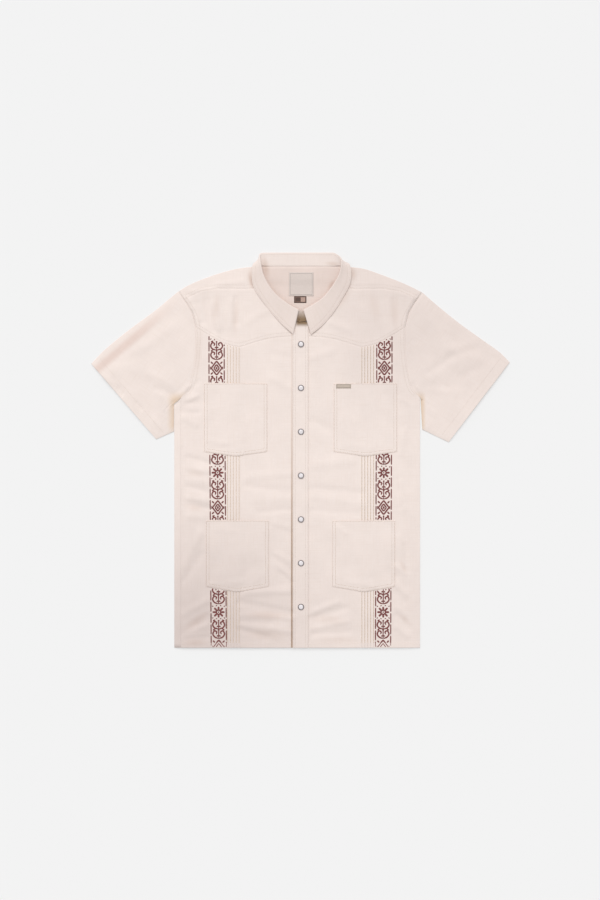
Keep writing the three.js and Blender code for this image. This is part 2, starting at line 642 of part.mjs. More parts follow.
// ---------- collar ----------
// The middle of the stand runs from base to crest. The leaf starts at the crest, rolls over and ends at edge.
function collarStation(k) {
  const at = (name, from = k) =>
    point(...["X", "Y", "Z"].map((axis) => lookUp(collarRows, "at", name + axis, from)));
  const [base, crest, edge] = [at("base"), at("crest"), at("edge")];
  const along = at("crest", k + 0.3).sub(at("crest", k - 0.3)).normalize();
  const across = crest.clone().sub(base);
  across.addScaledVector(along, -across.dot(along)).normalize();
  return { base, crest, edge, across, out: across.clone().cross(along) };
}
const leafTurns = [0, 60, 120, 180].map((angle) => (angle * Math.PI) / 180);
const leafShares = [0.25, 0.5, 0.75, 1];
function collarPieces() {
  const stations = Array.from({ length: collarSteps + 1 }, (_, i) =>
    collarStation((i / collarSteps) * (collarRows.length - 1)),
  );
  const stand = [0, 0.33, 0.67, 1].map((k) =>
    stations.map(({ base, crest, across }) => base.clone().lerp(crest, k).addScaledVector(across, -0.8 * k)),
  );
  const columns = stations.map(({ crest, edge, across, out }) => {
    const rolled = leafTurns.map((turn) =>
      crest
        .clone()
        .addScaledVector(across, seamGap + rollRadius * Math.sin(turn))
        .addScaledVector(out, rollRadius * (1 - Math.cos(turn))),
    );
    const start = rolled[rolled.length - 1];
    const bend = start.clone().addScaledVector(across, -0.3 * start.distanceTo(edge));
    bend.z = Math.min(bend.z, start.z);
    const laid = leafShares.map((k) =>
      start
        .clone()
        .multiplyScalar((1 - k) ** 2)
        .addScaledVector(bend, 2 * k * (1 - k))
        .addScaledVector(edge, k * k),
    );
    return [...rolled, ...laid].map((p) => p.setZ(Math.max(p.z, stiffCloth / 2)));
  });
  const leaf = columns[0].map((_, j) => columns.map((column) => column[j]));
  return { stand: clothWall([stand], stiffCloth), leaf: clothWall([leaf], stiffCloth) };
}

// ---------- labels ----------
// A flat label on the inside of the back yoke, or on a pocket: rows of heights with a plain wall.
function label(columnsX, rowsY, heightAt) {
  const rows = rowsY.map((y) => columnsX.map((x) => point(x, y, heightAt(x, y) + seamGap + cloth / 2)));
  return clothWall([rows], cloth);
}

// ---------- snaps ----------
// A solid turned about its own upright axis. profile lists { radius, z } from the underside, outwards and up.
function turned(profile, segments) {
  const position = [];
  const index = [];
  const rings = profile.map(({ radius, z }) => {
    const start = position.length / 3;
    const count = radius === 0 ? 1 : segments;
    for (let i = 0; i < count; i++) {
      const angle = (2 * Math.PI * i) / segments;
      position.push(radius * Math.cos(angle), radius * Math.sin(angle), z);
    }
    return (i) => start + (i % count);
  });
  const pairs = rings.map((ring, i) => [ring, rings[i + 1]]).slice(0, -1);
  if (profile[0].radius !== 0) pairs.push([rings[rings.length - 1], rings[0]]);
  for (const [low, high] of pairs) {
    for (let i = 0; i < segments; i++) {
      const face = [low(i), low(i + 1), high(i + 1), high(i)];
      for (const triangle of [
        [face[0], face[1], face[2]],
        [face[0], face[2], face[3]],
      ]) {
        if (new Set(triangle).size === 3) index.push(...triangle);
      }
    }
  }
  return new THREE.BufferGeometry()
    .setAttribute("position", new THREE.Float32BufferAttribute(position, 3))
    .setIndex(index);
}
const ringProfile = [
  { radius: pearlRadius + 0.3, z: 0 },
  { radius: snapRadius - 0.3, z: 0 },
  { radius: snapRadius, z: 0.6 },
  { radius: snapRadius - 0.6, z: 1.5 },
  { radius: pearlRadius + 0.7, z: 1.6 },
  { radius: pearlRadius + 0.3, z: 1.2 },
];
const capProfile = [
  { radius: 0, z: 0 },
  { radius: pearlRadius, z: 0 },
  { radius: pearlRadius, z: 0.9 },
  { radius: pearlRadius * 0.7, z: 1.5 },
  { radius: 0, z: snapHeight },
];
const snapX = 1;

// ---------- the shirt ----------
addPiece("back", backPanel(), linen);
addPiece("back_yoke", backYoke(), linen);
for (const [name, shape] of Object.entries(sleeveShapes)) {
  const { side } = shape;
  addPiece(`front_${name}`, frontPanel(side), linen);
  addPiece(`front_yoke_${name}`, frontYoke(side), linen);
  addPiece(`sleeve_${name}`, sleeve(shape), linen);
  for (const [pocketName, pocketShape] of Object.entries(pocketShapes)) {
    addPiece(`${pocketName}_${name}`, pocket(side, pocketShape), linen);
  }
}
addPiece("placket", placket(), linen);
const collar = collarPieces();
addPiece("collar_stand", collar.stand, linen);
addPiece("collar_leaf", collar.leaf, linen);

const insideTop = (x, y) => lowerHeight(x, y) + cloth / 2;
addPiece("neck_label", label([-24, 27], [316, 338, 350, 365], insideTop), labelCloth);
addPiece("size_tab", label([-13, 12], [302, 315.7], insideTop), brownCloth);
const tabPocket = pocketShapes.chest_pocket;
const pocketTop = (x, y) => {
  const k = (y - tabPocket.corner) / (tabPocket.top - tabPocket.corner);
  return pocketHeight(1, tabPocket, x, clamp01(k)).z + cloth / 2;
};
addPiece("pocket_tab", label([73, 86, 103.5], [126.5, 135.5], pocketTop), labelCloth);

for (let i = 0; i < snapCount; i++) {
  const y = snapTop - i * snapPitch;
  const z = frontTop(snapX, y) + seamGap + stiffCloth + seamGap;
  addPiece(`snap_ring_${i + 1}`, turned(ringProfile, 16), metal).position.set(snapX, y, z);
  addPiece(`snap_cap_${i + 1}`, turned(capProfile, 16), pearl).position.set(snapX, y, z);
}

export default shirt;
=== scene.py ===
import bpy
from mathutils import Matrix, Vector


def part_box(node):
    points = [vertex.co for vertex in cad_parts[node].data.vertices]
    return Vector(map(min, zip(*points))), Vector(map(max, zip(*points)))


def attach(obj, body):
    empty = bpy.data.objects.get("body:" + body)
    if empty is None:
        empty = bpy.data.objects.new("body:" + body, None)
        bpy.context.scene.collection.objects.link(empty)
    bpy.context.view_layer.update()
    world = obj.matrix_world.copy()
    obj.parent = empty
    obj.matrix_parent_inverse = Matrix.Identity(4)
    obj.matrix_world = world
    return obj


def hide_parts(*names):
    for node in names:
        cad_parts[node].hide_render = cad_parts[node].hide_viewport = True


bl_info = {
    "name": "Guayabera Shirt",
    "version": (1, 0, 0),
    "blender": (4, 5, 0),
    "location": "3D View > Sidebar > Shirt",
    "description": "A short-sleeved guayabera shirt with snaps, pintucks and embroidered bands, laid flat",
    "category": "Object",
}

import math

import bmesh
import bpy
import numpy as np
from mathutils import Matrix, Vector

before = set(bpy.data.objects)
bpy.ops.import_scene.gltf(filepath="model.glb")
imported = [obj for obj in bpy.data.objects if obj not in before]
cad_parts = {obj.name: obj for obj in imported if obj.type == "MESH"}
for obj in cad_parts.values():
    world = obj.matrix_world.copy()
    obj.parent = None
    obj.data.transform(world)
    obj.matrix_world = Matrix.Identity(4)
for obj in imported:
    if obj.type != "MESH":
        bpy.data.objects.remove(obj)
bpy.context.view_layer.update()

# Lengths in the tables and in the shape functions are millimetres in the frame of the solids: +X is the
# wearer's left, +Y points to the collar, +Z is up. Meshes are made in metres.
MM = 0.001

# ---------- the cut of the shirt ----------

HEM_Y = -405.5
SIDE_X = 245.0
SIDE_ROLL = 14.0
TIP_X = 429.5
PLACKET_HALF = 16.5
UNDERLAP_X = 13.0
PLACKET_TOP = 259.0
YOKE_SEAM_Y = 268.0
BACK_NECK_Y = 376.8
SEAM_GAP = 0.12
LAP = 8.0
REST = 0.5
FOLD = 1.9
FOLD_R = 0.7
FOLD_INSET = 1.2
DOME = 2.4
DOME_REACH = 18.0
COLLAR_LIFT = 1.5
TUCK_FIRST = 125.0
TUCK_PITCH = 6.0
TUCK_COUNT = 5
TUCK_WIDTH = 2.6
SNAP_X = 1.0
SNAP_TOP = 217.0
SNAP_PITCH = 89.8
SNAP_COUNT = 7
HEM_WIDTH = 11.0
CUFF_HEM = 20.0
PLACKET_THICKNESS = 1.2
LABEL_THICKNESS = 0.5
COLLAR_PLY = 1.15  # the collar's cloth with its lining, in thicknesses of the cloth
ROLL_R = 1.2  # of the leaf, where it turns over the stand
STAND_GAP = 0.1  # between the stand's upper edge and the leaf
STAND_ROWS_DROP = 0.8  # of the stitches on the stand
TUCK_DROP = 0.5
TUCK_HEIGHT = 0.75
HALF_TURN = np.radians([0, 30, 60, 90, 120, 150, 180])

# x from the centre front, y: half outlines
ARMHOLE = [(245, 108), (231, 121), (223, 145), (217, 178), (214.5, 203), (214, 252), (222, 281), (235, 303),
           (250, 323.5)]
SHOULDER = {
    1: [(89, 376.5), (128, 372.5), (163, 361), (196, 348.5), (225, 336), (250, 323.5)],
    -1: [(89, 377), (128, 372.5), (170, 361.5), (205, 349), (232, 337), (250, 326)],
}
YOKE_EDGE = [(0, 233.5), (17, 233.5), (59, 230), (91, 222), (124, 212), (132, 212.5), (157, 219), (190, 237),
             (214, 252)]
FORWARD_SEAM = [(78, 334), (112, 330.5), (140, 331), (172, 331), (205, 325), (239, 309)]
NECK = [(0, 260.7), (13, 262), (30, 268.3), (47.2, 282.6), (64.4, 303.6), (78.2, 333), (86.2, 354.7),
        (89.6, 374)]
# x on the lower edge of the front yoke, x where that column ends on the neck or the forward seam
YOKE_COLUMNS = [(17, 17), (38, 30), (60, 47.2), (82, 64.4), (100, 78), (112, 95), (124, 112), (132, 126),
                (157, 140), (170, 158), (180, 172), (190, 188), (202, 205), (213.85, 238.8)]
SLEEVES = {
    1: {"top": [(250.3, 323.3), (278, 299), (323, 262.4), (374, 225.5), (409, 200.5), (TIP_X, 180)],
        "cuff_low": (304, 16), "underarm": (250, 42), "waist": (246.4, 106), "body_edge": SIDE_X},
    -1: {"top": [(250.3, 325.8), (268, 311.5), (296, 288), (347.5, 250), (378, 226), (407, 201),
                 (TIP_X, 177)],
         "cuff_low": (296, 22), "underarm": (259.8, 38), "waist": (259.6, 93),
         "body_edge": SIDE_X + SIDE_ROLL},
}
# kind, place on the underarm fold (share) or on the armhole (y), share of the cuff
SLEEVE_ROWS = [("fold", 0, 0), ("fold", 0.3, 0.06), ("fold", 0.65, 0.13), ("fold", 1, 0.2),
               ("hole", 109.5, 0.22),
               ("hole", 121, 0.28), ("hole", 145, 0.38), ("hole", 178, 0.5), ("hole", 203, 0.6),
               ("hole", 252, 0.76),
               ("hole", 281, 0.87), ("hole", 303, 0.95), ("top", 0, 1)]
# from x, y to x, y, half width, height: the largest folds, as in the solids
FOLDS = [
    (-176, 338, -174, 262, 10, 1.0), (-191, 334, -190, 262, 9, -1.0), (-270, 92, -240, 112, 9, 1.1),
    (-240, 92, -204, 99, 10, -1.2), (-250, 304, -232, 326, 9, -1.0), (-226, -106, -212, -112, 12, -1.0),
    (-116, -338, -30, -341, 14, -1.4), (-112, -360, -30, -364, 14, 1.2), (30, -360, 84, -366, 14, -1.2),
    (206, -225, 214, -300, 12, -0.9), (262, 150, 335, 190, 16, 0.8), (-262, 150, -345, 168, 16, 1.1),
]
# the same columns: finer creases, placed one by one
CREASES = [
    # the wearer's right underarm, and the folds that run from it
    (-257, 89, -214, 110, 5, 1.0), (-254, 79, -211, 76, 5, -1.1), (-261, 102, -226, 132, 5, 0.8),
    (-250, 96, -222, 97, 4, -0.8), (-240, 66, -214, 52, 6, 0.7), (-252, 60, -247, 10, 5, 0.7),
    (-268, 84, -282, 112, 5, 0.8), (-262, 112, -296, 126, 5, -0.8), (-256, 128, -310, 156, 7, 0.7),
    (-232, 118, -210, 140, 5, -0.7),
    # its side
    (-232, -15, -188, -27, 5, -1.0), (-230, -36, -190, -44, 6, 0.8), (-234, -60, -192, -66, 7, 0.6),
    (-233, -75, -188, -86, 5, -0.9), (-232, -98, -192, -104, 6, 0.9), (-230, -113, -189, -120, 4.5, -1.2),
    (-228, -136, -196, -138, 7, 0.7), (-247, -253, -206, -171, 8, 1.0), (-238, -268, -204, -215, 6, -0.8),
    (-240, -60, -236, -180, 6, -0.5), (-247, -340, -190, -308, 7, 0.9), (-250, -378, -188, -342, 7, -1.9),
    (-240, -372, -196, -360, 6, 0.8), (-236, -388, -190, -384, 5, -0.7),
    # beside the placket, from the chest to the hem
    (-110, -56, -22, -48, 8, 0.45), (-112, -74, -24, -84, 7, -0.55), (-100, -104, -22, -100, 9, 0.4),
    (-84, -128, -24, -122, 6, -0.6), (-56, -219, -19, -246, 4.5, -0.5), (-50, -212, -19, -229, 4.5, 0.4),
    (-46, -238, -19, -262, 4.5, 0.4), (-40, -252, -19, -272, 4, -0.5), (-52, -150, -20, -160, 6, 0.5),
    (-112, -293, -24, -288, 7, 1.0), (-124, -313, -20, -335, 6.5, -1.5), (-118, -338, -20, -344, 6, 0.9),
    (-122, -352, -60, -356, 5, -0.7), (-124, -368, -66, -384, 6, -1.0), (-60, -366, -20, -372, 5, 0.7),
    (22, -346, 92, -325, 6, -1.1), (30, -330, 76, -312, 6, 0.8), (24, -366, 96, -352, 6, 0.7),
    (26, -378, 100, -372, 5, -0.8), (26, -96, 132, -112, 8, 0.5), (28, -78, 126, -88, 7, -0.55),
    (24, -124, 118, -132, 7, -0.5), (30, -30, 110, -22, 10, 0.5), (26, 60, 62, 40, 8, -0.5),
    (-60, 150, -24, 128, 8, 0.5), (-58, 196, -22, 190, 8, -0.5), (24, 190, 64, 204, 8, 0.5),
    # the wearer's left side
    (197, -238, 216, -254, 4.5, 0.9), (198, -258, 220, -280, 5, -1.2), (196, -276, 218, -298, 4.5, 0.9),
    (197, -294, 215, -314, 5, -0.8), (196, -322, 216, -338, 4.5, 0.8), (198, -340, 223, -366, 5, -1.3),
    (196, -362, 220, -382, 4.5, 0.9), (204, -180, 214, -236, 6, 0.7), (214, -196, 220, -250, 5, -0.7),
    (196, -60, 205, -118, 4.5, -0.8), (204, -66, 212, -122, 5, 0.7), (226, -90, 230, -250, 8, 0.5),
    (228, 40, 232, -70, 8, -0.5), (204, -10, 212, 40, 5, 0.6),
    # its underarm
    (231, 132, 247, 104, 5, -0.8), (240, 128, 258, 100, 4.5, 0.8), (206, 104, 236, 90, 6, 0.6),
    (252, 92, 274, 74, 5, 0.8), (262, 132, 302, 128, 6, -0.6),
    # the shoulders
    (-192, 306, -180, 242, 6, -1.2), (-178, 300, -166, 250, 7, 0.9), (-134, 310, -131, 260, 5, -0.9),
    (-142, 306, -146, 252, 6, 0.6), (-107, 370, -101, 340, 5, -1.2), (-248, 322, -226, 292, 4.5, 0.9),
    (-238, 324, -214, 300, 4.5, -0.9), (-226, 326, -180, 330, 5, 0.8), (-232, 310, -206, 268, 5, 0.8),
    (-222, 300, -200, 262, 4.5, -0.8), (-166, 340, -120, 346, 6, 0.5), (190, 308, 204, 240, 7, -0.7),
    (178, 304, 186, 244, 8, 0.6), (118, 352, 128, 306, 9, -0.6), (112, 364, 111, 338, 9, -1.1),
    (208, 322, 236, 312, 5, 0.7),
    (60, 262, 100, 246, 7, 0.45), (-110, 262, -64, 290, 8, 0.5),
    # the sleeves
    (-404, 168, -252, 286, 12, -0.7), (-382, 168, -262, 254, 14, 0.6), (-310, 205, -372, 178, 9, -0.5),
    (-372, 127, -366, 114, 4.5, -0.9), (-336, 96, -327, 84, 4, -0.8), (-400, 150, -390, 138, 4, 0.7),
    (-300, 62, -288, 46, 5, 0.6), (270, 268, 296, 214, 9, 0.6), (292, 262, 318, 216, 10, -0.5),
    (300, 204, 382, 232, 8, 0.5), (306, 190, 384, 216, 7, -0.4), (262, 158, 312, 192, 7, -0.7),
    (330, 150, 372, 172, 9, -0.5), (318, 232, 392, 188, 10, -0.4), (268, 128, 330, 118, 9, 0.5),
]
POCKETS = {
    "chest_pocket": {"inner": 68, "outer": 198, "top": 136.5, "corner": -3.5, "point": -12.5},
    "lower_pocket": {"inner": 65, "outer": 194, "top": -145, "corner": -280, "point": -291},
}
# the same columns as the creases: pulls in the pockets' cloth
POCKET_TUGS = [
    (66, -148, 92, -172, 4, 0.8), (74, -147, 104, -162, 4, -0.7), (68, -160, 78, -190, 4, 0.6),
    (-190, 20, -130, 8, 6, 0.6), (-180, 2, -110, 14, 5, -0.5), (-170, 118, -176, 60, 8, -0.4),
    (-186, -276, -120, -270, 6, 0.6), (-120, -256, -80, -226, 7, -0.5), (-96, -272, -70, -246, 6, 0.5),
    (-176, -160, -120, -170, 8, 0.5), (-150, -196, -176, -240, 9, -0.4), (110, 116, 118, 40, 7, -0.35),
    (176, 100, 182, 30, 8, 0.4), (90, 10, 150, 4, 6, 0.5), (96, -270, 150, -280, 6, 0.6),
    (150, -262, 188, -250, 7, -0.5), (170, -180, 176, -236, 9, 0.4), (84, 60, 96, 20, 8, 0.35),
]
# place round the neck; base x, y, z; crest x, y, z; leaf edge x, y, z
COLLAR = [
    (0, 4, 262, 4.3, -4, 286, 7.4, -15, 237.5, 8.6), (1, -26, 268, 4.3, -25, 298, 7.8, -37, 257, 6.6),
    (2, -46, 284, 4.3, -47.5, 315, 8.2, -59, 281, 6.2), (3, -63, 305, 4.3, -64.5, 335.5, 8.4, -80, 308, 6.1),
    (4, -77, 333, 4.3, -76, 357.5, 8.2, -96, 334, 6.2), (5, -85, 355, 5.0, -80, 372, 8.6, -100, 358, 6.4),
    (6, -88, 371, 4.0, -82.3, 385, 8.8, -98, 380, 3.6), (7, -83, 378.2, 3.6, -82.3, 397, 6.8, -90, 384, 1.3),
    (7.5, -76, 378, 3.0, -80.2, 402.4, 4.6, -82, 378, 0.8),
    (8, -62, 377.3, 2.2, -63, 403.4, 2.9, -70, 370, 0.6),
    (9, -30, 377.3, 2.0, -31, 403.46, 2.8, -32, 361, 0.62),
    (10, 0, 377.3, 2.0, 0, 403.46, 2.8, 0, 360.5, 0.62),
    (11, 30, 377.3, 2.0, 30, 403.46, 2.8, 32, 361, 0.62), (12, 62, 377.3, 2.2, 60, 403.4, 2.9, 70, 370, 0.6),
    (12.35, 72, 377.8, 2.8, 68.8, 402.8, 3.6, 79, 376, 0.8),
    (13, 83, 378.2, 3.6, 80.5, 394, 7.2, 91, 384, 1.3),
    (14, 88, 371, 4.0, 84, 383, 8.8, 101, 380, 3.6), (15, 85, 355, 5.0, 82.5, 371, 8.6, 104, 360, 6.4),
    (16, 77, 333, 4.3, 77.5, 355, 8.2, 100, 337, 6.2), (17, 63, 305, 4.3, 63, 331, 8.4, 85, 309, 6.1),
    (18, 46, 284, 4.3, 46, 311, 8.2, 67, 281, 6.2), (19, 26, 268, 5.2, 26, 297, 7.8, 44, 255, 6.6),
    (20, -4, 262, 6.2, 6.5, 286, 7.4, 21.5, 237, 8.4),
]

# ---------- small helpers ----------


def mix(a, b, k):
    return a + (b - a) * k


def spaced(start, end, step):
    """Values from start to end, about step apart."""
    return np.linspace(start, end, max(2, int(math.ceil(abs(end - start) / step)) + 1))


def joined(*parts):
    """Lists of values, one after the other, without doubles."""
    values = []
    for part in parts:
        for value in np.atleast_1d(part):
            if not values or abs(value - values[-1]) > 1e-6:
                values.append(float(value))
    return np.array(values)


def look_up(rows, v, by=0, out=1):
    """Column out of a table where its column by is v, on a smooth curve through the rows."""
    a = np.array(rows, float)
    s, t = a[:, by], a[:, out]
    v = np.asarray(v, float)
    i = np.clip(np.searchsorted(s, v, side="left") - 1, 0, len(s) - 2)
    before, after = np.maximum(i - 1, 0), np.minimum(i + 2, len(s) - 1)
    span = s[i + 1] - s[i]
    k = np.clip((v - s[i]) / span, 0, 1)
    slope_a = (t[i + 1] - t[before]) / (s[i + 1] - s[before])
    slope_b = (t[after] - t[i]) / (s[after] - s[i])
    k2, k3 = k * k, k * k * k
    return ((2 * k3 - 3 * k2 + 1) * t[i] + (k3 - 2 * k2 + k) * span * slope_a
            + (3 * k2 - 2 * k3) * t[i + 1] + (k3 - k2) * span * slope_b)


def on_chain(rows, v, by=0, out=1):
    a = np.array(rows, float)
    return np.interp(v, a[:, by], a[:, out])


def even_curve(points, shares):
    """Points of a smooth curve through points, at shares of its length."""
    p = np.array(points, float)
    at = np.concatenate([[0], np.cumsum(np.hypot(*np.diff(p, axis=0).T))])
    fine = np.linspace(0, at[-1], 400)
    x = look_up(np.column_stack([at, p[:, 0]]), fine)
    y = look_up(np.column_stack([at, p[:, 1]]), fine)
    run = np.concatenate([[0], np.cumsum(np.hypot(np.diff(x), np.diff(y)))])
    s = np.asarray(shares) * run[-1]
    return np.column_stack([np.interp(s, run, x), np.interp(s, run, y)])


def segment_distance(x, y, ax, ay, bx, by):
    dx, dy = bx - ax, by - ay
    k = np.clip(((x - ax) * dx + (y - ay) * dy) / (dx * dx + dy * dy), 0, 1)
    return np.hypot(x - ax - k * dx, y - ay - k * dy)


def smooth_step(low, high, v):
    k = np.clip((v - low) / (high - low), 0, 1)
    return k * k * (3 - 2 * k)


# ---------- heights of the layers ----------


def cloth_thickness():
    return bpy.context.scene.shirt_cloth.thickness / MM


def armhole_x(y):
    return on_chain(ARMHOLE, y, by=1, out=0)


def yoke_edge_y(x):
    return look_up(YOKE_EDGE, np.abs(x))


def neck_y(x):
    return look_up(NECK, np.abs(x))


def folded_edges():
    edges = []
    for side, shape in SLEEVES.items():
        upper = SHOULDER[side][:-1] + shape["top"]
        low = [shape["waist"], shape["underarm"], shape["cuff_low"]]
        body = [(shape["body_edge"], HEM_Y), (shape["body_edge"], shape["waist"][1])]
        for chain in (upper, low, body):
            edges += [(side * a[0], a[1], side * b[0], b[1]) for a, b in zip(chain, chain[1:])]
    return edges


FOLDED_EDGES = folded_edges()


def creases_at(x, y, rows):
    total = np.zeros_like(x, dtype=float)
    for ax, ay, bx, by, width, height in rows:
        total += height * np.exp(-((segment_distance(x, y, ax, ay, bx, by) / width) ** 2))
    return total


def unevenness(x, y):
    """Slow hills of pressed cloth, a quarter of a millimetre high."""
    return (0.11 * np.sin(x / 23 + 1.3 * np.sin(y / 61) + 0.4)
            + 0.09 * np.sin(y / 19 + 1.7 * np.sin(x / 47) + 2.1)
            + 0.06 * np.sin((x + y) / 11 + 1.1) * np.sin((x - 0.7 * y) / 17))


def neck_lift(x, y):
    return COLLAR_LIFT * np.clip((y - 338) / 12, 0, 1) * smooth_step(106, 90, np.abs(x))


def lower(x, y):
    return REST + neck_lift(x, y)


def upper(x, y):
    x, y = np.asarray(x, float), np.asarray(y, float)
    reach = np.full(x.shape, 1e9)
    for edge in FOLDED_EDGES:
        reach = np.minimum(reach, segment_distance(x, y, *edge))
    rise = 1 - np.exp(-np.maximum(0, reach - FOLD_INSET) / DOME_REACH)
    strength = bpy.context.scene.shirt_cloth.crease_strength
    soft = creases_at(x, y, FOLDS) + strength * (creases_at(x, y, CREASES) + unevenness(x, y))
    soft = np.where(soft < 0, 2.2 * np.tanh(soft / 2.2), 3.0 * np.tanh(soft / 3.0))
    return FOLD + rise * (DOME + soft) + neck_lift(x, y)


def lap_rise(x, y):
    """The front yoke stands above the front along its lower edge."""
    above = y - yoke_edge_y(x)
    return 0.15 * (1 - np.clip((above - LAP) / LAP, 0, 1))


def yoke_top(x, y):
    return upper(x, y) + lap_rise(x, y)


def front_top(x, y):
    """Top of the front without its tucks and placket."""
    on_yoke = np.clip((y - yoke_edge_y(x) + 4) / 4, 0, 1)
    return upper(x, y) + cloth_thickness() / 2 + on_yoke * lap_rise(x, y)


def tuck_raise(x):
    """Sawtooth of the pintucks: a slow rise outwards and a steep drop."""
    start = (np.abs(x) - TUCK_FIRST + TUCK_WIDTH) / TUCK_PITCH
    index = np.floor(start + 1e-6)
    inside = (start - index) * TUCK_PITCH
    rise, drop = (inside / TUCK_WIDTH) ** 1.3, np.clip(1 - (inside - TUCK_WIDTH) / TUCK_DROP, 0, 1)
    tooth = np.where(inside <= TUCK_WIDTH, rise, drop)
    return TUCK_HEIGHT * np.where((index >= 0) & (index < TUCK_COUNT), tooth, 0)


# ---------- meshes ----------


def new_piece(name, verts, faces, material, nodes=(), uv=None, smooth=True):
    """A mesh in metres from points in millimetres. It rides on the shirt and stands for nodes."""
    mesh = bpy.data.meshes.new(name)
    mesh.from_pydata((np.asarray(verts, float) * MM).tolist(), [], [tuple(face) for face in faces])
    mesh.update()
    if uv is not None:
        layer = mesh.uv_layers.new(name="cut")
        index = np.empty(len(mesh.loops), dtype=np.int32)
        mesh.loops.foreach_get("vertex_index", index)
        layer.data.foreach_set("uv", (np.asarray(uv)[index] * MM).astype(np.float32).ravel())
    mesh.polygons.foreach_set("use_smooth", [smooth] * len(mesh.polygons))
    mesh.materials.append(material)
    obj = bpy.data.objects.new(name, mesh)
    bpy.context.collection.objects.link(obj)
    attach(obj, "root")
    if nodes:
        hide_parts(*nodes)
    return obj


def cloth_shell(node, patches, material, thickness=None, raised=None):
    """A closed wall round middle surfaces, in place of a node. patches are (points, cut) grids; cut is the
    place on the flat cut of the cloth, for the weave. Points that coincide are joined. raised(points) stands
    out on the outer side."""
    thickness = thickness or cloth_thickness()
    points, cuts, faces = [], [], []
    known = {}
    for grid, cut in patches:
        rows, columns = grid.shape[:2]
        keys = np.round(grid * 50 + 0.0137).astype(np.int64)
        ids = np.empty((rows, columns), dtype=np.int64)
        for j in range(rows):
            for i in range(columns):
                key = tuple(keys[j, i])
                found = known.get(key)
                if found is None:
                    found = known[key] = len(points)
                    points.append(grid[j, i])
                    cuts.append(cut[j, i])
                ids[j, i] = found
        quads = np.stack([ids[:-1, :-1], ids[:-1, 1:], ids[1:, 1:], ids[1:, :-1]], axis=-1).reshape(-1, 4)
        faces.append(quads)
    p = np.array(points)
    quads = np.concatenate(faces)
    normals = np.zeros_like(p)
    across = np.cross(p[quads[:, 2]] - p[quads[:, 0]], p[quads[:, 3]] - p[quads[:, 1]])
    for corner in range(4):
        np.add.at(normals, quads[:, corner], across)
    normals /= np.maximum(np.linalg.norm(normals, axis=1, keepdims=True), 1e-12)
    out = np.reshape((thickness / 2 + (raised(p) if raised else 0)) * np.ones(len(p)), (-1, 1))
    outer = p + normals * out
    inner = p - normals * thickness / 2
    middle = p + normals * (out - thickness / 2)
    count = len(p)
    all_faces = [clean(face) for face in quads.tolist()]
    all_faces = [face for face in all_faces if face]
    edges = {}
    for face in all_faces:
        for a, b in zip(face, face[1:] + face[:1]):
            edges[(a, b)] = True
    border = [(a, b) for a, b in edges if (b, a) not in edges]
    rim = {}
    for a, _ in border:
        rim[a] = 2 * count + len(rim)
    # the edge of the cloth is rounded: its middle line stands out a little
    push = {a: np.zeros(3) for a in rim}
    for a, b in border:
        way = np.cross(p[b] - p[a], normals[a])
        way /= max(np.linalg.norm(way), 1e-9)
        push[a] += way
        push[b] = push.get(b, np.zeros(3)) + way
    rim_points = [middle[a] + push[a] / max(np.linalg.norm(push[a]), 1e-9) * 0.22 * thickness for a in rim]
    walls = []
    for a, b in border:
        walls += [[rim[a], rim[b], b, a], [a + count, b + count, rim[b], rim[a]]]
    flipped = [[i + count for i in reversed(face)] for face in all_faces]
    verts = np.concatenate([outer, inner, np.array(rim_points).reshape(-1, 3)])
    uv = np.array(cuts)
    uv = np.concatenate([uv, uv, uv[list(rim)]]) if rim else np.concatenate([uv, uv])
    return new_piece(f"{node}_cloth", verts, all_faces + flipped + walls, material, (node,), uv)


def clean(face):
    """A face without doubled corners, or nothing where fewer than three are left."""
    kept = [v for i, v in enumerate(face) if v != face[i - 1]]
    return kept if len(set(kept)) == len(kept) and len(kept) >= 3 else None


def placed(grid, cut, side, turned):
    """A patch, mirrored for side -1 and turned over if it lies below."""
    if turned:
        grid, cut = grid[::-1], cut[::-1]
    if side < 0:
        grid, cut = grid[:, ::-1], cut[:, ::-1]
    return grid, cut


def lift_plan(side, x, y, height, turned=False):
    """A patch from plan points drawn on the wearer's left."""
    grid = np.stack([side * x, y, height(side * x, y)], axis=-1)
    return placed(grid, np.stack([x, y], axis=-1), side, turned)


def fold_chain(outline, way):
    """Centres of a folded edge's half circle along an outline, and the directions out of the cloth."""
    p = np.array(outline, float)
    step = np.diff(p, axis=0)
    step /= np.maximum(np.linalg.norm(step, axis=1, keepdims=True), 1e-9)
    normal = np.zeros_like(p)
    normal[:-1] += np.column_stack([step[:, 1], -step[:, 0]])
    normal[1:] += np.column_stack([step[:, 1], -step[:, 0]])
    normal *= way / np.maximum(np.linalg.norm(normal, axis=1, keepdims=True), 1e-9)
    return p - normal * FOLD_INSET, normal


def fold_patch(side, centres, normals, turned=False):
    x, y = (centres[:, axis] + FOLD_R * np.sin(HALF_TURN)[:, None] * normals[:, axis] for axis in (0, 1))
    low, high = lower(side * centres[:, 0], centres[:, 1]), upper(side * centres[:, 0], centres[:, 1])
    z = low + (high - low) * ((1 - np.cos(HALF_TURN)) / 2)[:, None]
    return placed(np.stack([side * x, y, z], axis=-1), np.stack([x, y + z], axis=-1), side, turned)


def bow(low_y, high_y, k, share):
    y = mix(low_y, high_y, k)
    return share ** 2 * (armhole_x(y) - mix(armhole_x(low_y), armhole_x(high_y), k))
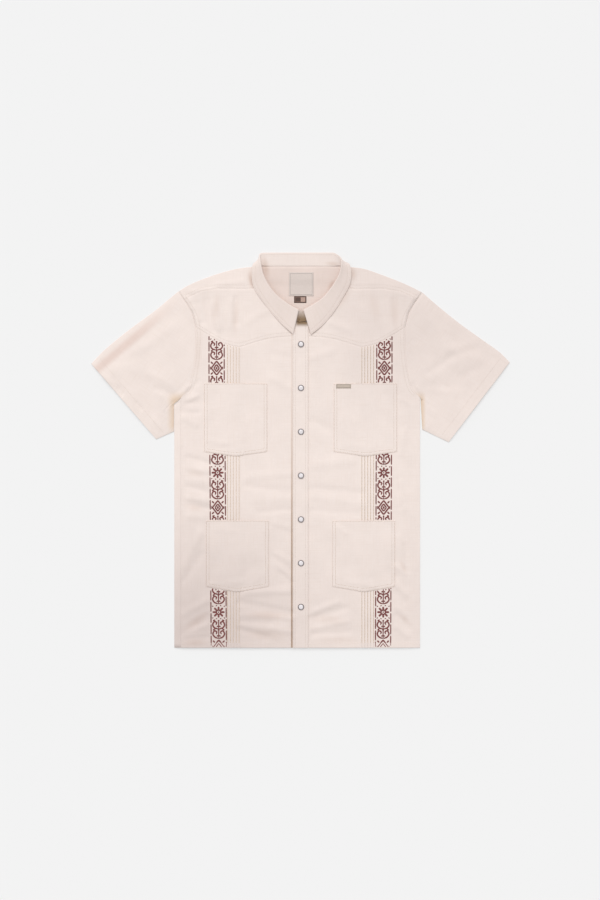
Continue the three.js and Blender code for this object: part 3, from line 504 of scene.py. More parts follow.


# ---------- node groups and materials ----------

# Limits of the places of painted shade, in metres in the shirt's own frame: where a mask starts and ends,
# and then its least value where that isn't 0.
THROAT_X, THROAT_SIDES = 0.003, (0.0155, 0.008)
THROAT_FRONT, THROAT_DEPTH, THROAT_BACK = (0.2505, 0.2608), (0.290, 0.266, 0.3), (0.300, 0.292)
OPEN_FOLD_X, OPEN_FOLD_SIDES = -0.0177, (0.0027, 0.0007)
OPEN_FOLD_ALONG, OPEN_FOLD_TOP = (0.20, -0.28, 0.15), (0.262, 0.240)
NECK_SIDES, NECK_FRONT = (0.108, 0.096), (0.386, 0.372)
# the roll is a strip ROLL_INSET inside a line through ROLL_END, along the wearer's right sleeve's upper edge
ROLL_END, ROLL_WAY, ROLL_INSET = (0.427, 0.177), (0.6465, 0.763), 0.015
ROLL_SIDES, ROLL_ALONG = (0.0135, 0.002), (-0.245, -0.345)
PIT_SIDES = ((-0.277, -0.2575), (0.259, 0.2485))
PIT_LOW, PIT_HIGH = (0.030, 0.052), (0.124, 0.100)
# axis and limits of the two pairs of slow changes of tone that multiply each other: painted shade, darker
# towards the hem on the wearer's right and towards the shoulder on the wearer's left
SHADE_FALLOFF = ((1, -0.02, -0.40, 0.0, 1.0), (0, 0.08, -0.22, 0.27, 1.0), (1, 0.0, 0.26, 0.0, 0.36),
        (0, 0.02, 0.14, 0.0, 1.0))
SHADE_FALLOFF_TINT = (0.78, 0.762, 0.768)
SLUB_TINT = (0.93, 0.90, 0.87)
SLUB_SCALES = ((900.0, 24.0, 1.0), (20.0, 760.0, 1.0))
# tint of the painted shade of soft folds
SOFT_FOLD_SHADE_TINT = (0.86, 0.80, 0.76)
# tints of painted shade, by mask: Throat, the hollow between the collar's points; Fold, the placket's open
# fold; Tone, the soft folds; Roll, a sleeve's rolled edge; Pit, the underarms; Neck, the inside of the neck
# and the collar
FRONT_SHADES = (("Throat", (0.31, 0.235, 0.15)), ("Fold", (0.64, 0.55, 0.455)), ("Tone", SOFT_FOLD_SHADE_TINT))
SLEEVE_SHADES = (("Roll", (0.925, 0.862, 0.84)), ("Pit", (0.88, 0.79, 0.66)))
INSIDE_SHADES = (("Neck", (0.915, 0.875, 0.86)), ("Tone", SOFT_FOLD_SHADE_TINT))
COLLAR_SHADES = (("Neck", (0.955, 0.94, 0.935)),)
# from x, y to x, y, half width, depth: painted shade of soft folds, which the flat light leaves as a change
# of tone
SOFT_FOLD_SHADES = [
    (-105, 366, -99, 335, 8, 0.95), (-130, 312, -136, 232, 10, 0.4), (106, 374, 108, 352, 11, 0.7),
    (101, 330, 70, 292, 15, 0.5), (-75, 395, -68, 352, 11, 0.9), (69, 347, 57, 330, 7, 0.8),
    (52, 383, 82, 381, 7, 0.7), (-62, 330, -50, 312, 9, 0.4), (146, 322, 158, 268, 16, 0.3),
    (-170, 322, -176, 262, 12, 0.35), (-206, 250, -214, 150, 12, 0.3), (190, 318, 196, 250, 14, 0.35),
    (-116, -338, -24, -340, 14, 0.55), (-114, -376, -24, -382, 18, 0.4), (-190, -334, -234, -366, 13, 0.5),
    (-194, -394, -240, -396, 12, 0.5), (-202, -120, -232, -116, 12, 0.35), (-200, -50, -230, -44, 12, 0.3),
    (24, -344, 96, -352, 14, 0.3), (30, -388, 130, -392, 12, 0.3), (204, -338, 224, -356, 8, 0.4),
    (205, -226, 216, -252, 8, 0.4),
]


def feed(tree, node, inputs):
    """Links the inputs of a node to sockets, or sets them to values."""
    for key, value in inputs.items():
        if isinstance(value, bpy.types.NodeSocket):
            tree.links.new(value, node.inputs[key])
        else:
            node.inputs[key].default_value = value


def add_node(tree, kind, inputs=None, **settings):
    made = tree.nodes.new(kind)
    for key, value in settings.items():
        setattr(made, key, value)
    feed(tree, made, inputs or {})
    return made


def calculate(tree, operation, a, b=0.0, c=0.0):
    return add_node(tree, "ShaderNodeMath", {0: a, 1: b, 2: c}, operation=operation).outputs[0]


def product(tree, first, *factors):
    for factor in factors:
        first = calculate(tree, "MULTIPLY", first, factor)
    return first


def apart(tree, a, b):
    return calculate(tree, "ABSOLUTE", calculate(tree, "SUBTRACT", a, b))


def fade(tree, value, start, end, least=0.0, most=1.0):
    """From least to most as value goes from start to end."""
    return add_node(tree, "ShaderNodeMapRange", {0: value, 1: start, 2: end, 3: least, 4: most},
                    interpolation_type="SMOOTHSTEP").outputs[0]


def mixed(tree, factor, a, b, way="MIX"):
    """Colour a, turned into b or multiplied by it as far as factor says."""
    a, b = (value if isinstance(value, bpy.types.NodeSocket) else (*value, 1) for value in (a, b))
    return add_node(tree, "ShaderNodeMix", {0: factor, 6: a, 7: b}, data_type="RGBA",
                    blend_type=way).outputs[2]


def noise_at(tree, place, scale, detail, **more):
    return add_node(tree, "ShaderNodeTexNoise",
                    {"Vector": place, "Scale": scale, "Detail": detail, **more}).outputs[0]


def separated(tree, place):
    return add_node(tree, "ShaderNodeSeparateXYZ", {0: place}).outputs


def object_place(tree):
    return add_node(tree, "ShaderNodeTexCoord").outputs["Object"]


def cut_place(tree):
    return add_node(tree, "ShaderNodeUVMap", uv_map="cut").outputs[0]


def bump(tree, height, distance):
    return add_node(tree, "ShaderNodeBump", {"Strength": 1.0, "Distance": distance,
                                             "Height": height}).outputs[0]


def toned(colour, factor):
    return tuple(min(1.0, channel * factor) for channel in tuple(colour)[:3])


def new_group(name, inputs, outputs):
    """An empty node group with named sockets: the group, its input node's sockets and its output node."""
    group = bpy.data.node_groups.new(name, "ShaderNodeTree")
    for label, value in inputs.items():
        kind = "NodeSocketVector" if value is None else "NodeSocketFloat"
        socket = group.interface.new_socket(name=label, in_out="INPUT", socket_type=kind)
        if value is not None:
            socket.default_value = value
    for label in outputs:
        group.interface.new_socket(name=label, in_out="OUTPUT", socket_type="NodeSocketFloat")
    start = group.nodes.new("NodeGroupInput")
    end = group.nodes.new("NodeGroupOutput")
    return group, start.outputs, end


def use_group(tree, group, inputs):
    return add_node(tree, "ShaderNodeGroup", inputs, node_tree=group).outputs


def linen_weave_group():
    """Plain weave with slubs: Height for a bump, Slub as a mask of thick threads, Tone for slow changes."""
    name = "Linen Weave"
    if name in bpy.data.node_groups:
        return bpy.data.node_groups[name]
    group, start, end = new_group(name, {"Cut": None, "Threads per Metre": 1500.0, "Slub": 0.5},
                                  ("Height", "Slub", "Tone"))
    parts = separated(group, start["Cut"])
    turn = calculate(group, "MULTIPLY", start["Threads per Metre"], math.pi)
    warp, weft = (calculate(group, "SINE", calculate(group, "MULTIPLY", parts[axis], turn))
                  for axis in (0, 1))
    weave = calculate(group, "MULTIPLY_ADD", calculate(group, "MULTIPLY", warp, weft), 0.5, 0.5)
    slubs = []
    for scale in SLUB_SCALES:
        stretched = add_node(group, "ShaderNodeVectorMath", {0: start["Cut"], 1: scale},
                             operation="MULTIPLY")
        threads = noise_at(group, stretched.outputs[0], 1.0, 2.0, Roughness=0.55)
        slubs.append(add_node(group, "ShaderNodeMapRange", {0: threads, 1: 0.42, 2: 0.72}).outputs[0])
    thick = calculate(group, "MAXIMUM", *slubs)
    lift = calculate(group, "MULTIPLY", thick, start["Slub"])
    feed(group, end, {"Height": calculate(group, "MULTIPLY_ADD", weave, 0.35, lift), "Slub": thick,
                      "Tone": noise_at(group, start["Cut"], 21.0, 3.0, Roughness=0.6)})
    return group


def thread_twist_group():
    """Fine slanting ridges of twisted or satin-laid thread: Height, and Sheen as a mask of lit strands."""
    name = "Thread Twist"
    if name in bpy.data.node_groups:
        return bpy.data.node_groups[name]
    group, start, end = new_group(name, {"Vector": None, "Strands per Metre": 2200.0, "Unevenness": 0.4},
                                  ("Height", "Sheen"))
    parts = separated(group, start["Vector"])
    fibre = noise_at(group, start["Vector"], 420.0, 2.0)
    phase = calculate(group, "MULTIPLY", calculate(group, "ADD", parts[0], parts[1]),
                      start["Strands per Metre"])
    wander = calculate(group, "MULTIPLY", fibre, calculate(group, "MULTIPLY", start["Unevenness"], 6.0))
    ridge = calculate(group, "SINE", calculate(group, "ADD", phase, wander))
    height = calculate(group, "MULTIPLY_ADD", ridge, 0.5, 0.5)
    feed(group, end, {"Height": height, "Sheen": calculate(group, "MULTIPLY", height, fibre)})
    return group


def shade_group():
    """Masks of painted shade, from a place in the shirt's own frame: the hollow between the collar's points,
    the open fold of the placket, the inside of the neck, the roll of a sleeve's upper edge, the underarms,
    and the soft folds of SOFT_FOLD_SHADES."""
    name = "Shaded Places"
    if name in bpy.data.node_groups:
        return bpy.data.node_groups[name]
    group, start, end = new_group(name, {"Place": None}, ("Throat", "Fold", "Neck", "Roll", "Pit", "Tone"))
    x, y, _ = separated(group, start["Place"])
    throat = product(group, fade(group, apart(group, x, THROAT_X), *THROAT_SIDES),
                     fade(group, y, *THROAT_FRONT),
                     fade(group, y, *THROAT_DEPTH), fade(group, y, *THROAT_BACK))
    fold = product(group, fade(group, apart(group, x, OPEN_FOLD_X), *OPEN_FOLD_SIDES),
                   fade(group, y, *OPEN_FOLD_ALONG), fade(group, y, *OPEN_FOLD_TOP))
    neck = product(group, fade(group, apart(group, x, 0.0), *NECK_SIDES), fade(group, y, *NECK_FRONT))
    along = calculate(group, "MULTIPLY", calculate(group, "ADD", x, ROLL_END[0]), ROLL_WAY[0])
    across = calculate(group, "MULTIPLY", calculate(group, "SUBTRACT", y, ROLL_END[1]), ROLL_WAY[1])
    off = apart(group, calculate(group, "SUBTRACT", along, across), ROLL_INSET)
    roll = product(group, fade(group, off, *ROLL_SIDES), fade(group, x, *ROLL_ALONG))
    sides = calculate(group, "MINIMUM", *(fade(group, x, *limits) for limits in PIT_SIDES))
    pit = product(group, sides, fade(group, y, *PIT_LOW), fade(group, y, *PIT_HIGH))
    # the Tone mask: painted shade of the soft folds in SOFT_FOLD_SHADES
    tone = 0.0
    for x0, y0, x1, y1, half, depth in SOFT_FOLD_SHADES:
        reach = math.hypot(x1 - x0, y1 - y0) / 2 + half
        nearby = add_node(group, "ShaderNodeMapping", {
            "Vector": start["Place"], "Location": ((x0 + x1) / 2 * MM, (y0 + y1) / 2 * MM, 0),
            "Rotation": (0, 0, math.atan2(y1 - y0, x1 - x0)), "Scale": (reach * MM, half * MM, 1)},
            vector_type="TEXTURE").outputs[0]
        far = add_node(group, "ShaderNodeVectorMath", {0: nearby}, operation="LENGTH").outputs["Value"]
        tone = calculate(group, "ADD", tone, fade(group, far, 1.0, 0.0, 0.0, depth))
    feed(group, end, {"Throat": throat, "Fold": fold, "Neck": neck, "Roll": roll, "Pit": pit, "Tone": tone})
    return group


def shader(name):
    """A new material with only a Principled BSDF and its output: the material, its tree, the shader."""
    material = bpy.data.materials.new(name)
    material.use_nodes = True
    tree = material.node_tree
    tree.nodes.clear()
    principled = tree.nodes.new("ShaderNodeBsdfPrincipled")
    output = tree.nodes.new("ShaderNodeOutputMaterial")
    tree.links.new(principled.outputs[0], output.inputs["Surface"])
    return material, tree, principled


def cloth_material(name="Natural Linen", shades=()):
    """Natural linen with slubs, lighter threads, a slow change of tone and painted shade towards the hem and
    the wearer's left shoulder; shades: masks of painted shade and their tints.
    """
    if name in bpy.data.materials:
        return bpy.data.materials[name]
    look = bpy.context.scene.shirt_cloth
    material, tree, principled = shader(name)
    weave = use_group(tree, linen_weave_group(),
                      {"Cut": cut_place(tree), "Threads per Metre": look.threads, "Slub": 0.55})
    place = object_place(tree)
    parts = separated(tree, place)
    base = mixed(tree, weave["Tone"], toned(look.colour, 0.94), toned(look.colour, 1.06))
    base = mixed(tree, calculate(tree, "MULTIPLY", weave["Slub"], 0.5), base, SLUB_TINT, "MULTIPLY")
    # painted shade: darker towards the hem and the wearer's left shoulder, where the light falls off
    ways = [fade(tree, parts[axis], *limits) for axis, *limits in SHADE_FALLOFF]
    falloff_shade = calculate(tree, "ADD", product(tree, *ways[:2]), product(tree, *ways[2:]))
    base = mixed(tree, falloff_shade, base, SHADE_FALLOFF_TINT, "MULTIPLY")
    masks = use_group(tree, shade_group(), {"Place": place}) if shades else {}
    for mask, tint in shades:
        base = mixed(tree, masks[mask], base, tint, "MULTIPLY")
    feed(tree, principled, {"Base Color": base, "Normal": bump(tree, weave["Height"], look.weave_height),
                            "Roughness": 0.88, "Specular IOR Level": 0.25, "Sheen Weight": 0.08})
    return material


def front_linen():
    return cloth_material("Shaded Linen", FRONT_SHADES)


def thread_material(name, colour):
    material, tree, principled = shader(name)
    twist = use_group(tree, thread_twist_group(),
                      {"Vector": object_place(tree), "Strands per Metre": 4200.0})
    feed(tree, principled, {"Base Color": mixed(tree, twist["Sheen"], toned(colour, 0.86),
                                                toned(colour, 1.12)),
                            "Roughness": 0.7})
    return material


def satin_material(name, colour):
    """Embroidery silk: strands laid side by side with a soft lustre."""
    if name in bpy.data.materials:
        return bpy.data.materials[name]
    material, tree, principled = shader(name)
    twist = use_group(tree, thread_twist_group(),
                      {"Vector": cut_place(tree), "Strands per Metre": 14000.0, "Unevenness": 0.2})
    feed(tree, principled, {"Base Color": mixed(tree, twist["Sheen"], toned(colour, 0.8),
                                                toned(colour, 1.25)),
                            "Normal": bump(tree, twist["Height"], 0.00008), "Roughness": 0.5})
    return material


def label_material(name, colour, border, centre, half, panel=None):
    """Woven label: fine ribs, a woven line inside its edge, and on one half a paler panel. Lengths in mm."""
    material, tree, principled = shader(name)
    place = object_place(tree)
    parts = separated(tree, place)
    inset = [calculate(tree, "SUBTRACT", half[axis] * MM, apart(tree, parts[axis], centre[axis] * MM))
             for axis in (0, 1)]
    line = calculate(tree, "COMPARE", calculate(tree, "MINIMUM", *inset), border * MM, 0.0005)
    ribs = calculate(tree, "SINE", calculate(tree, "MULTIPLY", parts[1], 12000.0))
    twist = use_group(tree, thread_twist_group(), {"Vector": place, "Strands per Metre": 6000.0})
    ground = mixed(tree, twist["Sheen"], toned(colour, 0.9), toned(colour, 1.08))
    woven = mixed(tree, line, ground, toned(colour, 0.62 if colour[0] > 0.3 else 2.2))
    if panel:
        off = apart(tree, parts[0], (centre[0] + 0.44 * half[0]) * MM)
        width = calculate(tree, "LESS_THAN", off, 0.36 * half[0] * MM)
        tall = calculate(tree, "GREATER_THAN", inset[1], border * MM)
        woven = mixed(tree, calculate(tree, "MULTIPLY", width, tall), woven, panel)
    feed(tree, principled, {"Base Color": woven, "Normal": bump(tree, ribs, 0.00005), "Roughness": 0.6})
    return material


def metal_material():
    material, tree, principled = shader("Dark Nickel")
    grain = noise_at(tree, object_place(tree), 900.0, 3.0)
    rough = add_node(tree, "ShaderNodeMapRange", {0: grain, 3: 0.24, 4: 0.42}).outputs[0]
    feed(tree, principled, {"Roughness": rough, "Base Color": bpy.context.scene.shirt_snaps.ring_colour,
                            "Metallic": 1.0})
    return material


def pearl_material():
    colour = bpy.context.scene.shirt_snaps.cap_colour
    material, tree, principled = shader("Pearl")
    clouds = noise_at(tree, object_place(tree), 260.0, 2.0, Distortion=1.6)
    mask = add_node(tree, "ShaderNodeMapRange", {0: clouds, 1: 0.35, 2: 0.7}).outputs[0]
    feed(tree, principled, {"Base Color": mixed(tree, mask, toned(colour, 0.88), toned(colour, 1.04)),
                            "Roughness": 0.16, "Coat Weight": 0.5})
    return material


def floor_material():
    look = bpy.context.scene.shirt_stage
    material, tree, principled = shader("Pale Floor")
    patches = noise_at(tree, object_place(tree), 3.0, 1.0)
    pale = mixed(tree, patches, toned(look.floor_colour, 0.998), toned(look.floor_colour, 1.002))
    feed(tree, principled, {"Base Color": pale, "Roughness": 0.95, "Specular IOR Level": 0.0,
                            "Emission Color": (1, 1, 1, 1), "Emission Strength": look.glow})
    return material


# ---------- the cloth pieces ----------

WAY = math.radians(33)  # the sleeves' grain runs down the sleeve


def turned_cut(patch, angle):
    grid, cut = patch
    c, s = math.cos(angle), math.sin(angle)
    x, y = grid[..., 0], grid[..., 1]
    return grid, np.stack([c * x - s * y, s * x + c * y], axis=-1)


def side_x(y):
    return SIDE_X if y <= ARMHOLE[0][1] else float(armhole_x(y)) - SEAM_GAP / 2


def front_plan(side):
    """Plan points of a front: upright columns that keep to the tucks, then to the side seam and armhole."""
    steps = (-2.6, -1.5, -0.6, 0, 0.25, 0.5)
    tucks = [TUCK_FIRST + i * TUCK_PITCH + step for i in range(TUCK_COUNT) for step in steps]
    near = joined(spaced(side * UNDERLAP_X + SEAM_GAP / 2, 14.5, 4), 15.4, 16.3, 17, 17.7, 18.6,
                  spaced(20, 119, 3.6), tucks, 151, 154)
    far = np.array([45, 41, 37, 33, 29, 25, 21, 17, 13, 9.5, 6, 3.5, 1.6, 0.6, 0])
    levels = joined(HEM_Y, HEM_Y + 1, spaced(HEM_Y + 4, HEM_Y + HEM_WIDTH - 0.8, 3), HEM_Y + HEM_WIDTH,
                    HEM_Y + HEM_WIDTH + 1.2, spaced(HEM_Y + 15, 108, 3.6), spaced(108, 203, 3.4))

    def columns(outer):
        return np.concatenate([near, np.linspace(157, outer - far[0], 11)[:-1], outer - far])

    xs, ys = [], []
    for y in levels:
        xs.append(columns(float(side_x(y))))
        ys.append(np.full(len(xs[-1]), y))
    for above, share in [(-4, k) for k in spaced(0, 1, 1 / 8)[1:]] + [
            (-0.4, 1), (0.2, 1), (0.9, 1), (2, 1), (LAP, 1)]:
        x = columns(float(armhole_x(mix(203, 252 + above, share))) - SEAM_GAP / 2)
        xs.append(x)
        ys.append(mix(203, yoke_edge_y(x) + above, share))
    return np.array(xs), np.array(ys)


def front_raised(p):
    x, y = p[:, 0], p[:, 1]
    tucks = np.where(y < yoke_edge_y(x) - 2, tuck_raise(x), 0)
    return tucks + 0.35 * (y < HEM_Y + HEM_WIDTH - 0.4)


def yoke_plan(side):
    inner = side * UNDERLAP_X + SEAM_GAP / 2
    table = np.array([(inner, inner)] + ([(0, 0)] if side < 0 else []) + YOKE_COLUMNS, float)
    low = joined(spaced(table[0, 0], 213.85, 3.2))
    high = np.interp(low, table[:, 0], table[:, 1])
    low_y = yoke_edge_y(low)
    high_y = np.where(high <= 78, neck_y(high), on_chain(FORWARD_SEAM, high) - SEAM_GAP / 2)
    share = np.linspace(0, 1, len(low))
    xs, ys = [], []
    rows = [0, 0.6, 1.6, 2.6, 4.5, 6.5, LAP, 10, 12, 14, 2 * LAP]
    shares = spaced(0, 1, 1 / 26)[1:]
    for row in rows + [None] * len(shares):
        if row is None:
            k_row = shares[len(xs) - len(rows)]
            y = mix(low_y + 2 * LAP, high_y, k_row)
        else:
            y = low_y + row
        k = (y - low_y) / (high_y - low_y)
        xs.append(mix(low, high, k) + bow(low_y, high_y, k, share ** 2))
        ys.append(y)
    return np.array(xs), np.array(ys)


def front_height(x, y):
    """Middle of a front: it dips where the yoke laps over it, and beside the placket's open fold."""
    trough = smooth_step(75, -260, y) * np.exp(-(((x + PLACKET_HALF + 0.4) / 1.1) ** 2))
    return upper(x, y) - 0.8 * smooth_step(-0.4, 0.9, y - yoke_edge_y(x)) - 1.3 * trough


def make_fronts():
    for side, name in ((1, "left"), (-1, "right")):
        x, y = front_plan(side)
        front = cloth_shell(f"front_{name}", [lift_plan(side, x, y, front_height)], front_linen(),
                            raised=front_raised)
        # the right front reaches under the left one
        x, y = yoke_plan(side)
        yoke = cloth_shell(f"front_yoke_{name}", [lift_plan(side, x, y, yoke_top)], front_linen())


def make_back():
    fold_x = SIDE_X + SIDE_ROLL - FOLD_INSET
    waist = SLEEVES[-1]["waist"][1]
    strip_rows = spaced(HEM_Y, waist, 9)
    rows = joined(strip_rows, spaced(waist, 108, 5), spaced(108, YOKE_SEAM_Y - SEAM_GAP, 6))
    across = np.linspace(0, 1, 64)
    xs, ys = [], []
    for y in rows:
        left = -fold_x if y <= waist else -side_x(y)
        left = -mix(fold_x, SIDE_X, (y - waist) / (108 - waist)) if waist < y < 108 else left
        xs.append(mix(left, side_x(y), across))
        ys.append(np.full(len(across), y))
    patches = [lift_plan(1, np.array(xs), np.array(ys), lower, turned=True)]
    outline = [(SIDE_X + SIDE_ROLL, y) for y in strip_rows]
    centres, normals = fold_chain(outline, 1)
    patches.append(fold_patch(-1, centres, normals))
    strip_x = spaced(fold_x, SIDE_X + SEAM_GAP, 2.5)
    # above the fold the strip narrows up to the underarm, along the sleeve's fold
    k = np.concatenate([np.zeros(len(centres)), spaced(0, 0.96, 0.12)[1:]])
    y = np.concatenate([centres[:, 1], mix(centres[-1, 1], 106.5, k[len(centres):])])
    x = mix(strip_x[:, None], SIDE_X + SEAM_GAP, k[None, :])
    patches.append(lift_plan(-1, x, np.repeat(y[None, :], len(strip_x), axis=0), upper))
    back = cloth_shell("back", patches, cloth_material())


def make_back_yoke():
    shares = joined(spaced(0, 0.03, 0.01), spaced(0.03, 0.97, 0.045), spaced(0.97, 1, 0.01))
    patches = []
    chains = {}
    q = joined(spaced(0, 1, 0.028))
    for side in (1, -1):
        x = mix(89.8, 249, q)
        chains[side] = fold_chain(np.column_stack([x, look_up(SHOULDER[side], x)]), -1)
    low_right = float(armhole_x(YOKE_SEAM_Y)) - SEAM_GAP / 2
    inner = spaced(-86, 86, 5)
    sides = np.concatenate([-np.ones(len(q)), np.ones(len(inner) + len(q))])
    low = np.concatenate([mix(91, low_right, q)[::-1], inner, mix(91, low_right, q)])
    top_x = np.concatenate([chains[-1][0][::-1, 0], inner, chains[1][0][:, 0]])
    top_y = np.concatenate([chains[-1][0][::-1, 1], np.full(len(inner), BACK_NECK_Y), chains[1][0][:, 1]])
    share = np.concatenate([q[::-1], np.zeros(len(inner)), q])
    k = spaced(0, 1, 0.05)[:, None]
    y = mix(YOKE_SEAM_Y, top_y[None, :], k)
    x = sides * (mix(low, top_x, k) + bow(YOKE_SEAM_Y, top_y[None, :], k, share))
    patches.append(lift_plan(1, x, y, lower, turned=True))
    for side in (1, -1):
        centres, normals = chains[side]
        patches.append(fold_patch(side, centres, normals, turned=True))
        seam_x = np.interp(q, [0, 0.055, 0.105, 0.25, 0.42, 0.6, 0.8, 1],
                           [78, 84, 91, 112, 140, 172, 205, 238.8])
        seam_y = on_chain(FORWARD_SEAM, seam_x) + SEAM_GAP / 2
        kk = shares[:, None]
        y = mix(seam_y, centres[:, 1], kk)
        x = mix(seam_x, centres[:, 0], kk) + bow(seam_y, centres[:, 1], kk, q)
        neck_x = look_up(NECK, y[:, 0], by=1, out=0)
        x[:, 0] += np.maximum(0, neck_x - mix(neck_x[0], neck_x[-1], shares))
        patches.append(lift_plan(side, x, y, upper))
    yoke = cloth_shell("back_yoke", patches, cloth_material("Inside Linen", INSIDE_SHADES))


def sleeve_rows():
    """The rows of the table with finer ones between them."""
    rows = []
    for (kind, at, cuff), (kind2, at2, cuff2) in zip(SLEEVE_ROWS, SLEEVE_ROWS[1:]):
        if kind2 == "top":
            kind2, at2 = "hole", 321.0
        count = 1 if kind != kind2 else max(2, int(round((cuff2 - cuff) / 0.022)))
        for k in range(count):
            share = k / count
            rows.append((kind, mix(at, at2, share) if kind == kind2 else at, mix(cuff, cuff2, share)))
    return rows + [("top", 0, 1)]


SLEEVE_TUCK = 1.0  # how far a sleeve's upper layer reaches under the body at the armhole


def sleeve_height(x, y):
    inside = np.abs(x) - (armhole_x(y) - SLEEVE_TUCK)
    under = np.clip(1 - (inside - 0.35) / 0.65, 0, 1) * smooth_step(109, 116, y) * smooth_step(322, 314, y)
    return upper(x, y) - 0.85 * under


def make_sleeves():
    for side, name in ((1, "left"), (-1, "right")):
        shape = SLEEVES[side]
        u = joined(0, spaced(0.022, 0.87, 0.022), spaced(0.885, 0.985, 0.018), 0.993, 1)
        rows = sleeve_rows()
        underarm, waist, cuff_low = (np.array(shape[key], float)
                                     for key in ("underarm", "waist", "cuff_low"))
        fold_shares = [at for kind, at, _ in rows if kind == "fold"]
        outline = [mix(underarm, waist, k) for k in reversed(fold_shares)]
        outline += [mix(underarm, cuff_low, k) for k in u[1:]]
        low_c, low_n = fold_chain(outline, 1)
        top_c, top_n = fold_chain(even_curve(shape["top"], u), -1)
        corner = len(fold_shares) - 1
        bottom = low_c[corner:]
        plans = []
        for tuck in (SLEEVE_TUCK, -SEAM_GAP / 2):
            plan = np.empty((len(rows), len(u), 2))
            for j, (kind, at, cuff) in enumerate(rows):
                uu = u.copy()
                if kind == "hole":
                    uu[1] = 0.0048
                if j == 0:
                    plan[j] = bottom
                elif kind == "top":
                    plan[j] = top_c
                else:
                    left = low_c[corner - j] if kind == "fold" else np.array([armhole_x(at) - tuck, at])
                    right = mix(bottom[-1], top_c[-1], cuff)
                    uu = uu[:, None]
                    plan[j] = (mix(left, right, uu) + (1 - cuff) * (bottom - mix(bottom[0], bottom[-1], uu))
                               + cuff * (top_c - mix(top_c[0], top_c[-1], uu)))
            plans.append(plan)
        (x, y), (low_x, low_y) = (np.moveaxis(plan, -1, 0) for plan in plans)
        patches = [lift_plan(side, x, y, sleeve_height), lift_plan(side, low_x, low_y, lower, turned=True),
                   fold_patch(side, low_c, low_n), fold_patch(side, top_c, top_n, turned=True)]
        patches = [turned_cut(patch, WAY) for patch in patches]
        sleeve = cloth_shell(f"sleeve_{name}", patches, cloth_material("Sleeve Linen", SLEEVE_SHADES))


def placket_height(x, y):
    lift = 0.1 + 1.1 * smooth_step(60, -300, y) + 0.2 * np.sin(y / 37) * smooth_step(120, 0, y)
    lip = (lift * np.exp(-(((x + PLACKET_HALF) / 3.2) ** 2))
           - 0.22 * np.exp(-(((x - PLACKET_HALF) / 2.0) ** 2)))
    pressed = -0.16 * np.exp(-((np.abs(x) - 10.5) / 0.9) ** 2)
    return front_top(x, y) + 0.85 + lip + pressed - 0.5 * smooth_step(256, PLACKET_TOP + 3.4, y)


def make_placket():
    x = joined(spaced(-PLACKET_HALF, -15, 0.5), spaced(-14, -11.6, 1), -11, -10.5, -10, spaced(-9, 9, 2),
               10, 10.5, 11,
               spaced(12, 15.5, 1), 16, PLACKET_HALF)
    y = joined(HEM_Y, HEM_Y + 0.6, spaced(HEM_Y + 3, 223, 3), spaced(223, 250, 1.5),
               spaced(250, PLACKET_TOP + 3.4, 1.2))
    gx, gy = np.meshgrid(x, y)
    placket = cloth_shell("placket", [lift_plan(1, gx, gy, placket_height)], front_linen(),
                          PLACKET_THICKNESS)


def pocket_low_y(shape, x):
    u = (x - shape["inner"]) / (shape["outer"] - shape["inner"])
    point = 1 - np.abs(2 * u - 1)
    soft = np.minimum(point, 0.92 + 0.3 * (point - 0.92))  # the point is a little rounded
    return mix(shape["corner"], shape["point"], soft)


def pocket_height(shape, x, y):
    """Middle of a pocket's cloth: sewn down beside its edges, a little full inside, over the tucks."""
    t = cloth_thickness()
    ax = np.abs(x)
    edge = np.minimum(np.minimum(ax - shape["inner"], shape["outer"] - ax), y - pocket_low_y(shape, ax))
    u = np.clip((ax - shape["inner"]) / (shape["outer"] - shape["inner"]), 0, 1)
    k = np.clip((y - pocket_low_y(shape, ax)) / (shape["top"] - pocket_low_y(shape, ax)), 0, 1)
    full = 0.9 * np.sin(np.pi * u) * np.sin(np.pi * np.minimum(k, 0.8) * 0.75) * smooth_step(2, 14, edge)
    bed = 0.6 * smooth_step(110, 124, ax) * smooth_step(163, 149, ax)
    seam = -0.18 * np.exp(-((edge - 1.8) / 0.7) ** 2) + 0.10 * np.exp(-((edge - 4.2) / 1.4) ** 2)
    near_point = np.exp(-(((y - pocket_low_y(shape, ax) - 5) / 7.0) ** 2))
    ripple = (0.08 + 0.3 * near_point) * np.sin(x * 2 * np.pi / 8.5 + 1.3 * np.sin(y / 9 + x / 31)) * np.exp(
        -(((edge - 3) / 6.0) ** 2))
    tugs = creases_at(x, y, POCKET_TUGS) * smooth_step(0, 5, edge)
    return front_top(x, y) + t / 2 + 0.12 + bed + full + seam + np.maximum(ripple + tugs, -0.35)


def make_pockets():
    for side, word in ((1, "left"), (-1, "right")):
        for name, shape in POCKETS.items():
            inner, outer = shape["inner"], shape["outer"]
            x = joined(inner, inner + 0.6, inner + 1.3, inner + 1.9, inner + 2.6, inner + 3.6,
                       spaced(inner + 5, 117, 3),
                       spaced(118, 123, 1.2), spaced(123, 150, 3), spaced(150, 155, 1.2),
                       spaced(158, outer - 5, 3),
                       outer - 3.6, outer - 2.6, outer - 1.9, outer - 1.3, outer - 0.6, outer)
            length = shape["top"] - shape["corner"]
            inset = joined(0, 0.6, 1.3, 1.9, 2.6, 3.6, spaced(5, length - 28, 3),
                           spaced(length - 27, length - 23, 0.7),
                           spaced(length - 21, length - 2, 3), length - 0.6, length)
            k = inset / length
            low = pocket_low_y(shape, x)
            gx = np.repeat(x[None, :], len(k), axis=0)
            gy = mix(low[None, :], shape["top"], k[:, None])
            patch = lift_plan(side, gx, gy, lambda px, py: pocket_height(shape, px, py))
            pocket = cloth_shell(f"{name}_{word}", [patch], cloth_material())


